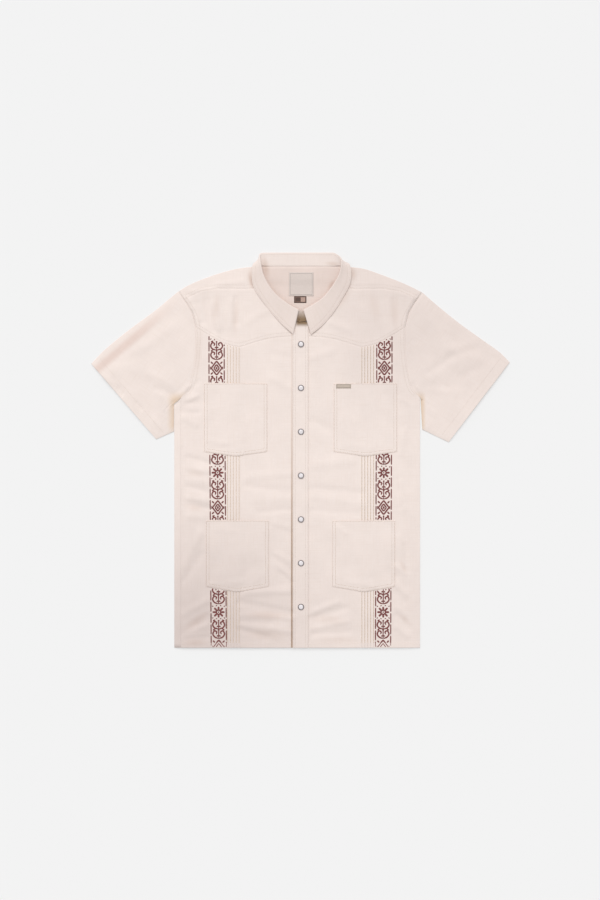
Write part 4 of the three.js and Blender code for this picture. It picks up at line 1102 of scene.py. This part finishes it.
def collar_stations(at):
    def place(column, k):
        k = np.clip(k, 0, COLLAR[-1][0])
        return np.stack([look_up(COLLAR, k, out=column + axis) for axis in range(3)], axis=-1)

    base, crest, edge = place(1, at), place(4, at), place(7, at)
    along = place(4, at + 0.2) - place(4, at - 0.2)
    along /= np.linalg.norm(along, axis=-1, keepdims=True)
    across = crest - base
    across -= along * np.sum(across * along, axis=-1, keepdims=True)
    across /= np.linalg.norm(across, axis=-1, keepdims=True)
    return base, crest, edge, across, np.cross(across, along)


def leaf_bend(at, start, edge, across):
    """Where the turned leaf bends down: it follows the stand, but its ends run straight to their points."""
    reach = np.linalg.norm(edge - start, axis=-1, keepdims=True)
    front = np.exp(-((np.minimum(at, COLLAR[-1][0] - at) / 0.9) ** 2))[:, None]
    bend = mix(start - across * 0.3 * reach, mix(start, edge, 0.4) + np.array([0, 0, 0.5]), front)
    bend[:, 2] = np.minimum(bend[:, 2], start[:, 2])
    return bend


def make_collar():
    at = np.linspace(0, COLLAR[-1][0], 161)
    base, crest, edge, across, out = collar_stations(at)
    run = np.concatenate([[0], np.cumsum(np.linalg.norm(np.diff(crest, axis=0), axis=1))])
    k = np.array([0, 0.03, 0.08, 0.2, 0.35, 0.5, 0.65, 0.8, 0.92, 0.97, 1])
    stand = np.array([mix(base, crest, kk) - across * STAND_GAP * kk for kk in k])
    tongue = np.array([mix(np.array([9.0, 262.0, 4.1]), np.array([5.0, 284.0, 6.1]), kk) for kk in k])
    tongue = [mix(tongue, stand[:, 0], kk) for kk in (0, 0.25, 0.5, 0.75)]
    stand = np.concatenate([np.stack(tongue, axis=1), stand], axis=1)
    along = np.concatenate([[-9, -6.8, -4.5, -2.3], run])
    cut = np.stack([np.repeat(along[None], len(k), axis=0), np.repeat(k[:, None] * 30, len(along), axis=1)],
                   axis=-1)
    t = cloth_thickness() * COLLAR_PLY
    stand = cloth_shell("collar_stand", [(stand, cut)], front_linen(), t)
    rolled = [crest + across * (SEAM_GAP + ROLL_R * math.sin(a)) + out * ROLL_R * (1 - math.cos(a))
              for a in HALF_TURN]
    start = rolled[-1]
    bend = leaf_bend(at, start, edge, across)
    shares = joined(spaced(0, 0.9, 0.075)[1:], 0.93, 0.96, 0.98, 0.99, 1)
    laid = [(1 - s) ** 2 * start + 2 * s * (1 - s) * bend + s * s * edge for s in shares]
    leaf = np.array(rolled + laid)
    leaf[..., 2] = np.maximum(leaf[..., 2], 0.6)
    depth = np.concatenate([[0], np.cumsum(np.linalg.norm(np.diff(leaf[:, 20], axis=0), axis=-1))])
    cut = np.stack([np.repeat(run[None], len(leaf), axis=0), np.repeat(depth[:, None], len(run), axis=1)],
                   axis=-1)
    leaf = cloth_shell("collar_leaf", [(leaf, cut)], cloth_material("Collar Linen", COLLAR_SHADES), t)


def make_labels():
    def on_yoke(x, y):
        return lower(x, y) + cloth_thickness() / 2 + 0.35 + 0.12 * np.sin(x / 7) * np.sin(y / 9)

    for node, x0, x1, y0, y1, slot, colour, finish, border, panel in (
        ("neck_label", -24, 27, 316, 365, "label", (0.80, 0.695, 0.64), "Label Satin", 3.0, None),
        ("size_tab", -13, 12, 302, 315.7, "brown_label", (0.105, 0.06, 0.045), "Tab Satin", 2.2,
         (0.50, 0.34, 0.28)),
    ):
        gx, gy = np.meshgrid(spaced(x0, x1, 2), spaced(y0, y1, 2))
        centre, half = ((x0 + x1) / 2, (y0 + y1) / 2), ((x1 - x0) / 2, (y1 - y0) / 2)
        material = label_material(finish, colour, border, centre, half, panel)
        tag = cloth_shell(node, [lift_plan(1, gx, gy, on_yoke)], material, LABEL_THICKNESS)
    shape = POCKETS["chest_pocket"]
    gx, gy = np.meshgrid(spaced(73, 103.5, 2), spaced(126.5, 135.5, 1.5))
    patch = lift_plan(1, gx, gy, lambda px, py: pocket_height(shape, px, py) + cloth_thickness() / 2 + 0.3)
    satin = label_material("Pocket Tab Satin", (0.62, 0.52, 0.44), 1.6, (88.25, 131), (15.25, 4.5))
    tab = cloth_shell("pocket_tab", [patch], satin, LABEL_THICKNESS)


# ---------- sewing ----------


def stitches(lines, length, gap, width, height):
    """Verts and faces of stitches along lines of points: slim closed drops of thread, eight faces each."""
    verts, faces = [], []
    for line in lines:
        line = np.asarray(line, float)
        run = np.concatenate([[0], np.cumsum(np.linalg.norm(np.diff(line, axis=0), axis=1))])
        count = int(run[-1] // (length + gap))
        if count < 1:
            continue
        starts = (np.arange(count) + 0.5) * run[-1] / count - length / 2
        ends = starts + length
        a = np.stack([np.interp(starts, run, line[:, i]) for i in range(3)], axis=-1)
        b = np.stack([np.interp(ends, run, line[:, i]) for i in range(3)], axis=-1)
        way = b - a
        way /= np.maximum(np.linalg.norm(way, axis=1, keepdims=True), 1e-9)
        beside = np.cross(np.array([0, 0, 1.0]), way)
        up = np.cross(way, beside)
        middle = (a + b) / 2
        ring = [beside * width / 2, up * height, -beside * width / 2, -up * height * 0.4]
        for i in range(count):
            s = len(verts)
            verts += [a[i], b[i]] + [middle[i] + offset[i] for offset in ring]
            for j in range(4):
                c, d = s + 2 + j, s + 2 + (j + 1) % 4
                faces += [[s, d, c], [s + 1, c, d]]
    return verts, faces


def on_surface(points, height, above):
    p = np.asarray(points, float)
    return np.column_stack([p, height(p[:, 0], p[:, 1]) + above])


def both_sides(make):
    return [line for side in (1, -1) for line in make(side)]


def topstitch_lines():
    up = cloth_thickness() / 2 + 0.06

    def one_side(side):
        lines = []
        x = spaced(17, 211, 3)
        for inset in (1.6, 7.6):
            lines.append(on_surface(np.column_stack([side * x, yoke_edge_y(x) + inset]), yoke_top, up))
        x = spaced(80, 237, 3)
        for inset in (1.8, 7.8):
            line = np.column_stack([side * x, on_chain(FORWARD_SEAM, x) + inset])
            lines.append(on_surface(line, upper, up))
        # the armhole's seam is sewn down on the body, in a double row
        y = spaced(112, 320, 3)
        for inset in (2.0, 8.0):
            x = look_up(ARMHOLE, y, by=1, out=0) - inset
            surface = lambda px, py: np.where(py > yoke_edge_y(px) - 1, yoke_top(px, py), upper(px, py))
            lines.append(on_surface(np.column_stack([side * x, y]), surface, up))
        shape = SLEEVES[side]
        tip, low = np.array(shape["top"][-1], float), np.array(shape["cuff_low"], float)
        inward = np.array([-(tip - low)[1], (tip - low)[0]]) / np.linalg.norm(tip - low)
        cuff = [mix(low, tip, k) + inward * CUFF_HEM for k in spaced(0.015, 0.985, 0.012)]
        lines.append(on_surface([(side * px, py) for px, py in cuff], upper, up - 0.06))
        x = spaced(22, SIDE_X - 1, 3)
        hem = np.column_stack([side * x, np.full(len(x), HEM_Y + HEM_WIDTH - 1)])
        lines.append(on_surface(hem, lambda px, py: upper(px, py) + tuck_raise(px), up + 0.3))
        return lines

    lines = both_sides(one_side)
    y = spaced(HEM_Y + 2, PLACKET_TOP - 1, 3)
    for x in (-PLACKET_HALF + 1.5, -10.5, 10.5, PLACKET_HALF - 1.5):
        lines.append(on_surface(np.column_stack([np.full(len(y), x), y]), placket_height, 0.66))
    return lines + collar_lines()


def pocket_lines():
    """A double row down both sides and along the point of each pocket, and one under its top edge."""
    up = cloth_thickness() / 2 + 0.06

    def one_side(side):
        lines = []
        for shape in POCKETS.values():
            inner, outer, top = shape["inner"], shape["outer"], shape["top"]
            for inset in (1.2, 6.6):
                xs = np.concatenate([[inner + inset], spaced(inner + inset, outer - inset, 2.5),
                                     [outer - inset]])
                down = spaced(top - 1, shape["corner"] + inset, 2.5)
                path = [(inner + inset, y) for y in down]
                path += [(px, float(pocket_low_y(shape, np.array(px))) + inset) for px in xs]
                path += [(outer - inset, y) for y in down[::-1]]
                path = [(side * px, py) for px, py in path]
                lines.append(on_surface(path, lambda px, py: pocket_height(shape, px, py), up))
            x = spaced(inner + 1.2, outer - 1.2, 2.5)
            path = np.column_stack([side * x, np.full(len(x), top - 1.2)])
            lines.append(on_surface(path, lambda px, py: pocket_height(shape, px, py), up))
        return lines

    return both_sides(one_side)


def collar_lines():
    """Two rows inside the leaf's outer edge, and one along both edges of the stand."""
    t = cloth_thickness() * COLLAR_PLY
    at = np.linspace(0.12, COLLAR[-1][0] - 0.12, 240)
    base, crest, edge, across, out = collar_stations(at)
    start = crest + across * SEAM_GAP + out * 2 * ROLL_R
    reach = np.linalg.norm(edge - start, axis=-1, keepdims=True)
    bend = leaf_bend(at, start, edge, across)
    lines = []
    for inset in (1.8, 7.0):
        s = 1 - inset / reach
        line = (1 - s) ** 2 * start + 2 * s * (1 - s) * bend + s * s * edge
        for part in (slice(0, 70), slice(170, 240)):
            lines.append(line[part] + np.array([0, 0, t / 2 + 0.08]))
    middle = slice(88, 152)
    for k in (0.07, 0.93):
        lines.append((mix(base, crest, k) - across * STAND_ROWS_DROP * k)[middle]
                     + np.array([0, 0, t / 2 + 0.06]))
    return lines


def tuck_lines():
    lines = []
    for side in (1, -1):
        for i in range(TUCK_COUNT):
            x = TUCK_FIRST + i * TUCK_PITCH + 0.95
            for low, high in front_spans(x):
                y = spaced(low, high, 4)
                line = np.column_stack([np.full(len(y), side * x), y])
                lines.append(on_surface(line, upper, cloth_thickness() / 2 + 0.05))
    return lines


def make_sewing(look):
    for name, lines, gap, width, height, finish, colour in (
        ("topstitching", topstitch_lines(), 0.7, 0.55, 0.2, "Topstitch Thread", look.thread),
        ("pocket_stitching", pocket_lines(), 0.5, 0.75, 0.2, "Pocket Thread", look.pocket_thread),
        ("tuck_stitching", tuck_lines(), 0.4, 1.5, 0.22, "Tuck Thread", look.tuck_thread),
    ):
        verts, faces = stitches(lines, look.stitch_length / MM, gap, width, height)
        new_piece(name, verts, faces, thread_material(finish, colour))


def front_spans(x):
    """Where a front shows beside its pockets at x from the centre: (low, high) heights."""
    chest, low = POCKETS["chest_pocket"], POCKETS["lower_pocket"]
    over_low, over_chest = (float(pocket_low_y(shape, np.array(x))) - 0.5 for shape in (low, chest))
    return [(HEM_Y + 1, over_low), (low["top"] + 0.5, over_chest),
            (chest["top"] + 0.5, float(yoke_edge_y(x)) - 0.8)]


# ---------- embroidery ----------

# Motifs of the bands: strokes of satin stitch, (half width, points) with x across the band from -1 to 1 and
# y along it in millimetres. Mirrored strokes are drawn on both sides of the band's middle.
LOZENGE = {"length": 31, "mirrored": [
    (1.5, [(0, 30), (0.7, 15.5)]), (1.5, [(0.7, 15.5), (0, 1)]), (1.4, [(0, 23), (0.36, 15.5)]),
    (1.4, [(0.36, 15.5), (0, 8)]), (1.5, [(0.76, 28.5), (0.5, 24.5)]), (1.5, [(0.76, 2.5), (0.5, 6.5)]),
    (1.0, [(0.8, 18.5), (0.8, 12.5)])],
    "single": [(1.9, [(0, 18), (0, 13)])]}
VINE = {"length": 41, "mirrored": [
    (1.5, [(0.08, 2), (0.52, 5), (0.76, 11), (0.56, 17.5), (0.26, 15.5), (0.34, 11)]),
    (1.5, [(0.08, 21.5), (0.55, 24), (0.78, 30), (0.56, 36.5), (0.26, 34.5), (0.36, 30)]),
    (1.5, [(0.74, 19), (0.5, 21.8)]), (1.5, [(0.74, 38.5), (0.44, 40)]), (1.3, [(0.1, 8.5), (0.22, 6)]),
    (1.3, [(0.1, 28), (0.22, 25.5)])],
    "single": [(1.1, [(0, 1), (0, 20), (0, 40)]), (1.9, [(0, 18), (0, 21)]), (1.7, [(0, 37), (0, 40)])]}
ROSETTE = {"length": 30, "mirrored": [
    (1.9, [(0.14, 17), (0.56, 23.5)]), (1.9, [(0.2, 15), (0.78, 15)]), (1.9, [(0.14, 13), (0.56, 6.5)]),
    (1.0, [(0.84, 28), (0.7, 26)]), (1.0, [(0.84, 2), (0.7, 4)]), (1.0, [(0.36, 27.5), (0.2, 29)]),
    (1.0, [(0.36, 2.5), (0.2, 1)])],
    "single": [(1.9, [(0, 18), (0, 26)]), (1.9, [(0, 12), (0, 4)]), (1.6, [(-0.07, 15), (0.07, 15)])]}
BAND_ORDER = [LOZENGE, VINE, ROSETTE, VINE]
BAND_HALF = 15.6


def band_centre(side, y):
    """x of a band's middle: the bands lean a little towards the side near the hem."""
    shift = look_up([(-405, 4.5), (-200, 3.0), (0, 1.6), (150, 0.0), (240, 0.0)], y)
    return side * (172 - (shift if side < 0 else 0.6 * shift))


def satin(p, half, height):
    """A raised stroke of satin stitch along points: five rows across, closed below and at both ends."""
    way = np.gradient(p, axis=0)
    way /= np.maximum(np.linalg.norm(way, axis=1, keepdims=True), 1e-9)
    beside = np.column_stack([-way[:, 1], way[:, 0]])
    taper = np.interp(np.linspace(0, 1, len(p)), [0, 0.12, 0.88, 1], [0.6, 1, 1, 0.6])[:, None] * half
    run = np.concatenate([[0], np.cumsum(np.linalg.norm(np.diff(p, axis=0), axis=1))])
    verts, uv, faces = [], [], []
    for s, dome in zip((-1, -0.5, 0, 0.5, 1), (0, 0.34, 0.45, 0.34, 0)):
        row = p + beside * taper * s
        verts.append(np.column_stack([row, height(row[:, 0], row[:, 1]) + dome + 0.02]))
        uv.append(np.column_stack([run, np.full(len(p), dome)]))
    n = len(p)
    for j in range(4):
        for i in range(n - 1):
            a = j * n + i
            faces.append([a + 1, a + n + 1, a + n, a])
    base = 4 * n
    faces.append(list(range(base, base + n)) + list(range(n - 1, -1, -1)))
    faces.append([j * n for j in range(5)])
    faces.append([n - 1 + j * n for j in range(4, -1, -1)])
    return np.concatenate(verts), np.concatenate(uv), faces


def front_shows(x, y):
    """Where a front isn't covered by its pockets or the yoke."""
    ax = np.abs(x)
    shows = (y > HEM_Y + 1.2) & (y < yoke_edge_y(ax) - 1.6)
    for shape in POCKETS.values():
        shows &= (y < pocket_low_y(shape, ax) - 1.2) | (y > shape["top"] + 1.2)
    return shows


def band_strokes(side):
    """The strokes of a band, from the hem to the yoke, on the plan: (half width, points)."""
    strokes = []
    y, order = HEM_Y - 14, 0
    while y < 246:
        motif = BAND_ORDER[order % len(BAND_ORDER)]
        strokes += [(half, [(px, py + y) for px, py in line]) for half, line in motif["single"]]
        for half, line in motif["mirrored"]:
            strokes += [(half, [(way * px, py + y) for px, py in line]) for way in (1, -1)]
        y += motif["length"]
        order += 1
    for edge, dash in ((-1.0, HEM_Y - 8), (1.0, HEM_Y - 19)):
        while dash < 246:
            strokes.append((1.15, [(edge, dash), (edge, dash + 20.5)]))
            dash += 23.2
    shown = []
    thick = 1.04 if side > 0 else 1.02
    for half, line in strokes:
        p = np.array([(band_centre(side, py) + side * px * BAND_HALF, py) for px, py in line], float)
        long = np.sum(np.linalg.norm(np.diff(p, axis=0), axis=1))
        p = even_curve(p, np.linspace(0, 1, max(4, int(long / 1.1))))
        inside = front_shows(p[:, 0], p[:, 1])
        start = 0
        for i in range(len(p) + 1):
            if i == len(p) or not inside[i]:
                if i - start >= 3:
                    shown.append((thick * half, p[start:i]))
                start = i + 1
    return shown


def make_embroidery(look):
    height = lambda x, y: upper(x, y) + cloth_thickness() / 2 + 0.06
    for side, name in ((1, "left"), (-1, "right")):
        verts, uvs, faces = [], [], []
        count = 0
        for half, line in band_strokes(side):
            v, uv, f = satin(line, half, height)
            verts.append(v)
            uvs.append(uv)
            faces += [[i + count for i in face] for face in f]
            count += len(v)
        new_piece(f"embroidery_{name}", np.concatenate(verts), faces,
                  satin_material("Embroidery Silk", look.embroidery), (), np.concatenate(uvs))


# ---------- snaps ----------


DISC_SIDES = 48
RING_BEVEL, CAP_BEVEL = 0.00018, 0.0001
CAP_GAP = 0.00025  # between a cap and its ring
CAP_SEAT = 0.0003
CAP_STEPS = ((0.94, 0.2), (0.84, 0.14), (0.66, 0.1),
             (0.38, 0.06))  # share of the radius, rise in cap heights


def shaped_disc(name, radius, depth):
    """A disc from a cylinder, standing on z 0, in edit mode with nothing selected: the object and mesh."""
    bpy.ops.mesh.primitive_cylinder_add(vertices=DISC_SIDES, radius=radius, depth=depth,
                                        location=(0, 0, depth / 2))
    obj = bpy.context.object
    bpy.ops.object.transform_apply(location=True, rotation=False, scale=False)
    obj.name = name
    obj.data.name = name
    bpy.ops.object.mode_set(mode="EDIT")
    bpy.ops.mesh.select_all(action="DESELECT")
    bpy.ops.mesh.select_mode(type="FACE")
    return obj


def select_faces(obj, test):
    mesh = bmesh.from_edit_mesh(obj.data)
    for face in mesh.faces:
        face.select_set(test(face))
    mesh.select_flush_mode()
    bmesh.update_edit_mesh(obj.data)


def top_face(face):
    return face.normal.z > 0.9 and len(face.verts) > 4


def finish_disc(obj, bevel):
    bpy.ops.object.mode_set(mode="OBJECT")
    modifier = obj.modifiers.new("Edges", "BEVEL")
    modifier.width = bevel
    modifier.segments = 3
    modifier.limit_method = "ANGLE"
    bpy.ops.object.modifier_apply(modifier=modifier.name)
    bpy.ops.object.shade_smooth()


def ring_master(look):
    obj = shaped_disc("snap_ring_1_metal", look.ring_radius, look.ring_height * 0.55)
    select_faces(obj, top_face)
    bpy.ops.mesh.extrude_region_move(TRANSFORM_OT_translate={"value": (0, 0, look.ring_height * 0.45)})
    bpy.ops.transform.resize(value=(0.9, 0.9, 1))
    bpy.ops.mesh.inset(thickness=0.9 * look.ring_radius - look.cap_radius - CAP_GAP, depth=0)
    bpy.ops.mesh.extrude_region_move(TRANSFORM_OT_translate={"value": (0, 0, -0.75 * look.ring_height)})
    finish_disc(obj, RING_BEVEL)
    return obj


def cap_master(look):
    obj = shaped_disc("snap_cap_1_pearl", look.cap_radius, look.cap_height * 0.5)
    size = 1.0
    for reach, rise in CAP_STEPS:
        select_faces(obj, top_face)
        bpy.ops.mesh.extrude_region_move(TRANSFORM_OT_translate={"value": (0, 0, look.cap_height * rise)})
        bpy.ops.transform.resize(value=(reach / size, reach / size, 1))
        size = reach
    finish_disc(obj, CAP_BEVEL)
    return obj


def make_snaps(look):
    for master, kind, base, material, slot in (
        (ring_master(look), "snap_ring", 0.0, metal_material(), "metal"),
        (cap_master(look), "snap_cap", CAP_SEAT, pearl_material(), "pearl"),
    ):
        master.data.materials.append(material)
        copies = [master]
        for i in range(1, SNAP_COUNT):
            copy = master.copy()
            copy.data = master.data.copy()
            copy.name = copy.data.name = master.name.replace("_1_", f"_{i + 1}_")
            bpy.context.collection.objects.link(copy)
            copies.append(copy)
        for i, obj in enumerate(copies):
            node = f"{kind}_{i + 1}"
            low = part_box(node)[0]
            turn = Matrix.Rotation(math.radians(37 * i), 4, "Z")
            obj.data.transform(Matrix.Translation((SNAP_X * MM, (SNAP_TOP - i * SNAP_PITCH) * MM,
                                                   low[2] + base)) @ turn)
            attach(obj, "root")
            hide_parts(node)


# ---------- stage ----------

FLOOR_Z = -0.0004
KEY_PLACE, SIDE_PLACE = (-0.16, 1.0, 1.42), (-1.3, 0.3, 0.9)
LIGHT_ANGLE = math.radians(48)
LENS, SENSOR, CLIP_END = 85.0, 36.0, 60.0


def make_stage(look):
    bpy.ops.mesh.primitive_plane_add(size=look.floor_size, location=(0, 0, FLOOR_Z))
    floor = bpy.context.object
    floor.name = "floor"
    floor.data.materials.append(floor_material())
    bpy.context.scene.view_settings.view_transform = "Standard"
    world = bpy.data.worlds.new("Studio")
    world.use_nodes = True
    feed(world.node_tree, world.node_tree.nodes["Background"],
         {"Color": (1, 1, 1, 1), "Strength": look.fill})
    bpy.context.scene.world = world
    for name, place, strength in (("key", KEY_PLACE, look.key), ("side", SIDE_PLACE, look.side)):
        data = bpy.data.lights.new(name, "SUN")
        data.angle = LIGHT_ANGLE
        data.energy = strength
        light = bpy.data.objects.new(name, data)
        light.location = place
        light.rotation_euler = (-Vector(place)).to_track_quat("-Z", "Y").to_euler()
        bpy.context.collection.objects.link(light)
    data = bpy.data.cameras.new("camera")
    data.lens = LENS
    data.sensor_width = SENSOR
    data.sensor_fit = "AUTO"
    data.clip_end = CLIP_END
    camera = bpy.data.objects.new("camera", data)
    camera.location = (look.camera_x, look.camera_y, look.camera_height)
    bpy.context.collection.objects.link(camera)
    bpy.context.scene.camera = camera


# ---------- settings ----------


class ShirtClothSettings(bpy.types.PropertyGroup):
    """The linen of the shirt."""

    thickness: bpy.props.FloatProperty(
        name="Thickness", description="Thickness of one layer of the linen", default=0.0008, min=0.0003,
        max=0.001,
        precision=5, unit="LENGTH")
    crease_strength: bpy.props.FloatProperty(
        name="Crease Strength", description="Height of the small creases", default=2.3, min=0, max=3)
    threads: bpy.props.FloatProperty(
        name="Threads per Metre", description="Threads of warp and weft in a metre", default=1500.0, min=200)
    weave_height: bpy.props.FloatProperty(
        name="Weave Height", description="Depth of the weave and its slubs", default=0.00016, min=0,
        max=0.001,
        precision=5, unit="LENGTH")
    colour: bpy.props.FloatVectorProperty(
        name="Colour", description="Colour of the natural linen", subtype="COLOR", size=4, min=0, max=1,
        default=(0.905, 0.798, 0.747, 1))


class ShirtSewingSettings(bpy.types.PropertyGroup):
    """Threads of the seams, the tucks and the embroidery."""

    stitch_length: bpy.props.FloatProperty(
        name="Stitch Length", description="Length of one stitch", default=0.0026, min=0.001, precision=4,
        unit="LENGTH")
    thread: bpy.props.FloatVectorProperty(
        name="Topstitch Thread", description="Thread of the seams", subtype="COLOR", size=4, min=0, max=1,
        default=(0.76, 0.64, 0.54, 1))
    pocket_thread: bpy.props.FloatVectorProperty(
        name="Pocket Thread", description="Thread of the pockets' edges", subtype="COLOR", size=4, min=0,
        max=1,
        default=(0.66, 0.49, 0.34, 1))
    tuck_thread: bpy.props.FloatVectorProperty(
        name="Tuck Thread", description="Thread of the pintucks", subtype="COLOR", size=4, min=0, max=1,
        default=(0.74, 0.54, 0.30, 1))
    embroidery: bpy.props.FloatVectorProperty(
        name="Embroidery Silk", description="Thread of the bands", subtype="COLOR", size=4, min=0, max=1,
        default=(0.24, 0.062, 0.058, 1))


class ShirtSnapSettings(bpy.types.PropertyGroup):
    """The pearl snaps of the placket."""

    ring_radius: bpy.props.FloatProperty(
        name="Ring Radius", description="Outer radius of the metal ring", default=0.0064, min=0.003,
        precision=4,
        unit="LENGTH")
    ring_height: bpy.props.FloatProperty(
        name="Ring Height", description="Height of the metal ring", default=0.0016, min=0.0005, precision=4,
        unit="LENGTH")
    cap_radius: bpy.props.FloatProperty(
        name="Cap Radius", description="Radius of the pearl cap", default=0.0047, min=0.002, precision=4,
        unit="LENGTH")
    cap_height: bpy.props.FloatProperty(
        name="Cap Height", description="Height of the pearl cap", default=0.0017, min=0.0005, precision=4,
        unit="LENGTH")
    ring_colour: bpy.props.FloatVectorProperty(
        name="Ring Colour", description="Colour of the dark nickel", subtype="COLOR", size=4, min=0, max=1,
        default=(0.33, 0.297, 0.303, 1))
    cap_colour: bpy.props.FloatVectorProperty(
        name="Cap Colour", description="Colour of the pearl", subtype="COLOR", size=4, min=0, max=1,
        default=(0.88, 0.835, 0.85, 1))


class ShirtStageSettings(bpy.types.PropertyGroup):
    """Floor, lights and camera."""

    floor_size: bpy.props.FloatProperty(
        name="Floor Size", description="Side of the pale floor", default=48.0, min=1, unit="LENGTH")
    floor_colour: bpy.props.FloatVectorProperty(
        name="Floor Colour", description="Colour of the floor", subtype="COLOR", size=4, min=0, max=1,
        default=(0.48, 0.48, 0.48, 1))
    glow: bpy.props.FloatProperty(
        name="Glow", description="Light from the floor itself, a lit table top", default=0.418, min=0)
    fill: bpy.props.FloatProperty(
        name="Fill", description="Strength of the light from all round", default=0.53, min=0)
    key: bpy.props.FloatProperty(
        name="Key", description="Strength of the soft light from above the collar", default=1.7, min=0)
    side: bpy.props.FloatProperty(
        name="Side", description="Strength of the soft light from the left", default=0.14, min=0)
    camera_x: bpy.props.FloatProperty(
        name="Camera X", description="Place of the camera across the shirt", default=-0.001, unit="LENGTH")
    camera_y: bpy.props.FloatProperty(
        name="Camera Y", description="Place of the camera along the shirt", default=0.0, unit="LENGTH")
    camera_height: bpy.props.FloatProperty(
        name="Camera Height", description="Height of the camera above the floor", default=4.363,
        unit="LENGTH")


# ---------- operators ----------


class SHIRT_OT_back(bpy.types.Operator):
    """Make the back and the back yoke"""

    bl_idname = "shirt.back"
    bl_label = "Back"

    def execute(self, context):
        make_back()
        make_back_yoke()
        return {"FINISHED"}


class SHIRT_OT_fronts(bpy.types.Operator):
    """Make the fronts with their tucks, and the front yokes"""

    bl_idname = "shirt.fronts"
    bl_label = "Fronts"

    def execute(self, context):
        make_fronts()
        return {"FINISHED"}


class SHIRT_OT_sleeves(bpy.types.Operator):
    """Make the sleeves"""

    bl_idname = "shirt.sleeves"
    bl_label = "Sleeves"

    def execute(self, context):
        make_sleeves()
        return {"FINISHED"}


class SHIRT_OT_placket(bpy.types.Operator):
    """Make the placket"""

    bl_idname = "shirt.placket"
    bl_label = "Placket"

    def execute(self, context):
        make_placket()
        return {"FINISHED"}


class SHIRT_OT_pockets(bpy.types.Operator):
    """Make the four pockets"""

    bl_idname = "shirt.pockets"
    bl_label = "Pockets"

    def execute(self, context):
        make_pockets()
        return {"FINISHED"}


class SHIRT_OT_collar(bpy.types.Operator):
    """Make the stand and the leaf of the collar"""

    bl_idname = "shirt.collar"
    bl_label = "Collar"

    def execute(self, context):
        make_collar()
        return {"FINISHED"}


class SHIRT_OT_labels(bpy.types.Operator):
    """Make the bare labels and the pocket tab"""

    bl_idname = "shirt.labels"
    bl_label = "Labels"

    def execute(self, context):
        make_labels()
        return {"FINISHED"}


class SHIRT_OT_sewing(bpy.types.Operator):
    """Sew the topstitching, the pockets' rows and the tucks"""

    bl_idname = "shirt.sewing"
    bl_label = "Sewing"

    def execute(self, context):
        make_sewing(context.scene.shirt_sewing)
        return {"FINISHED"}


class SHIRT_OT_embroidery(bpy.types.Operator):
    """Embroider the bands of both fronts"""

    bl_idname = "shirt.embroidery"
    bl_label = "Embroidery"

    def execute(self, context):
        make_embroidery(context.scene.shirt_sewing)
        return {"FINISHED"}


class SHIRT_OT_snaps(bpy.types.Operator):
    """Model one snap and set its copies down the placket"""

    bl_idname = "shirt.snaps"
    bl_label = "Snaps"

    def execute(self, context):
        make_snaps(context.scene.shirt_snaps)
        return {"FINISHED"}


class SHIRT_OT_stage(bpy.types.Operator):
    """Set the floor, the lights and the camera"""

    bl_idname = "shirt.stage"
    bl_label = "Stage"

    def execute(self, context):
        make_stage(context.scene.shirt_stage)
        return {"FINISHED"}


OPERATORS = (SHIRT_OT_back, SHIRT_OT_fronts, SHIRT_OT_sleeves, SHIRT_OT_placket, SHIRT_OT_pockets,
             SHIRT_OT_collar,
             SHIRT_OT_labels, SHIRT_OT_sewing, SHIRT_OT_embroidery, SHIRT_OT_snaps, SHIRT_OT_stage)
SETTINGS = {"shirt_cloth": ShirtClothSettings, "shirt_sewing": ShirtSewingSettings,
            "shirt_snaps": ShirtSnapSettings, "shirt_stage": ShirtStageSettings}


class SHIRT_PT_panel(bpy.types.Panel):
    """The steps that make the shirt"""

    bl_idname = "SHIRT_PT_panel"
    bl_label = "Shirt"
    bl_space_type = "VIEW_3D"
    bl_region_type = "UI"
    bl_category = "Shirt"

    def draw(self, context):
        for step in OPERATORS:
            self.layout.operator(step.bl_idname)


def register():
    for cls in (*SETTINGS.values(), *OPERATORS, SHIRT_PT_panel):
        bpy.utils.register_class(cls)
    for name, cls in SETTINGS.items():
        setattr(bpy.types.Scene, name, bpy.props.PointerProperty(type=cls))


def unregister():
    for name in SETTINGS:
        delattr(bpy.types.Scene, name)
    for cls in reversed((*SETTINGS.values(), *OPERATORS, SHIRT_PT_panel)):
        bpy.utils.unregister_class(cls)


def main():
    register()
    for step in OPERATORS:
        group, name = step.bl_idname.split(".")
        getattr(getattr(bpy.ops, group), name)()


if __name__ == "__main__":
    main()
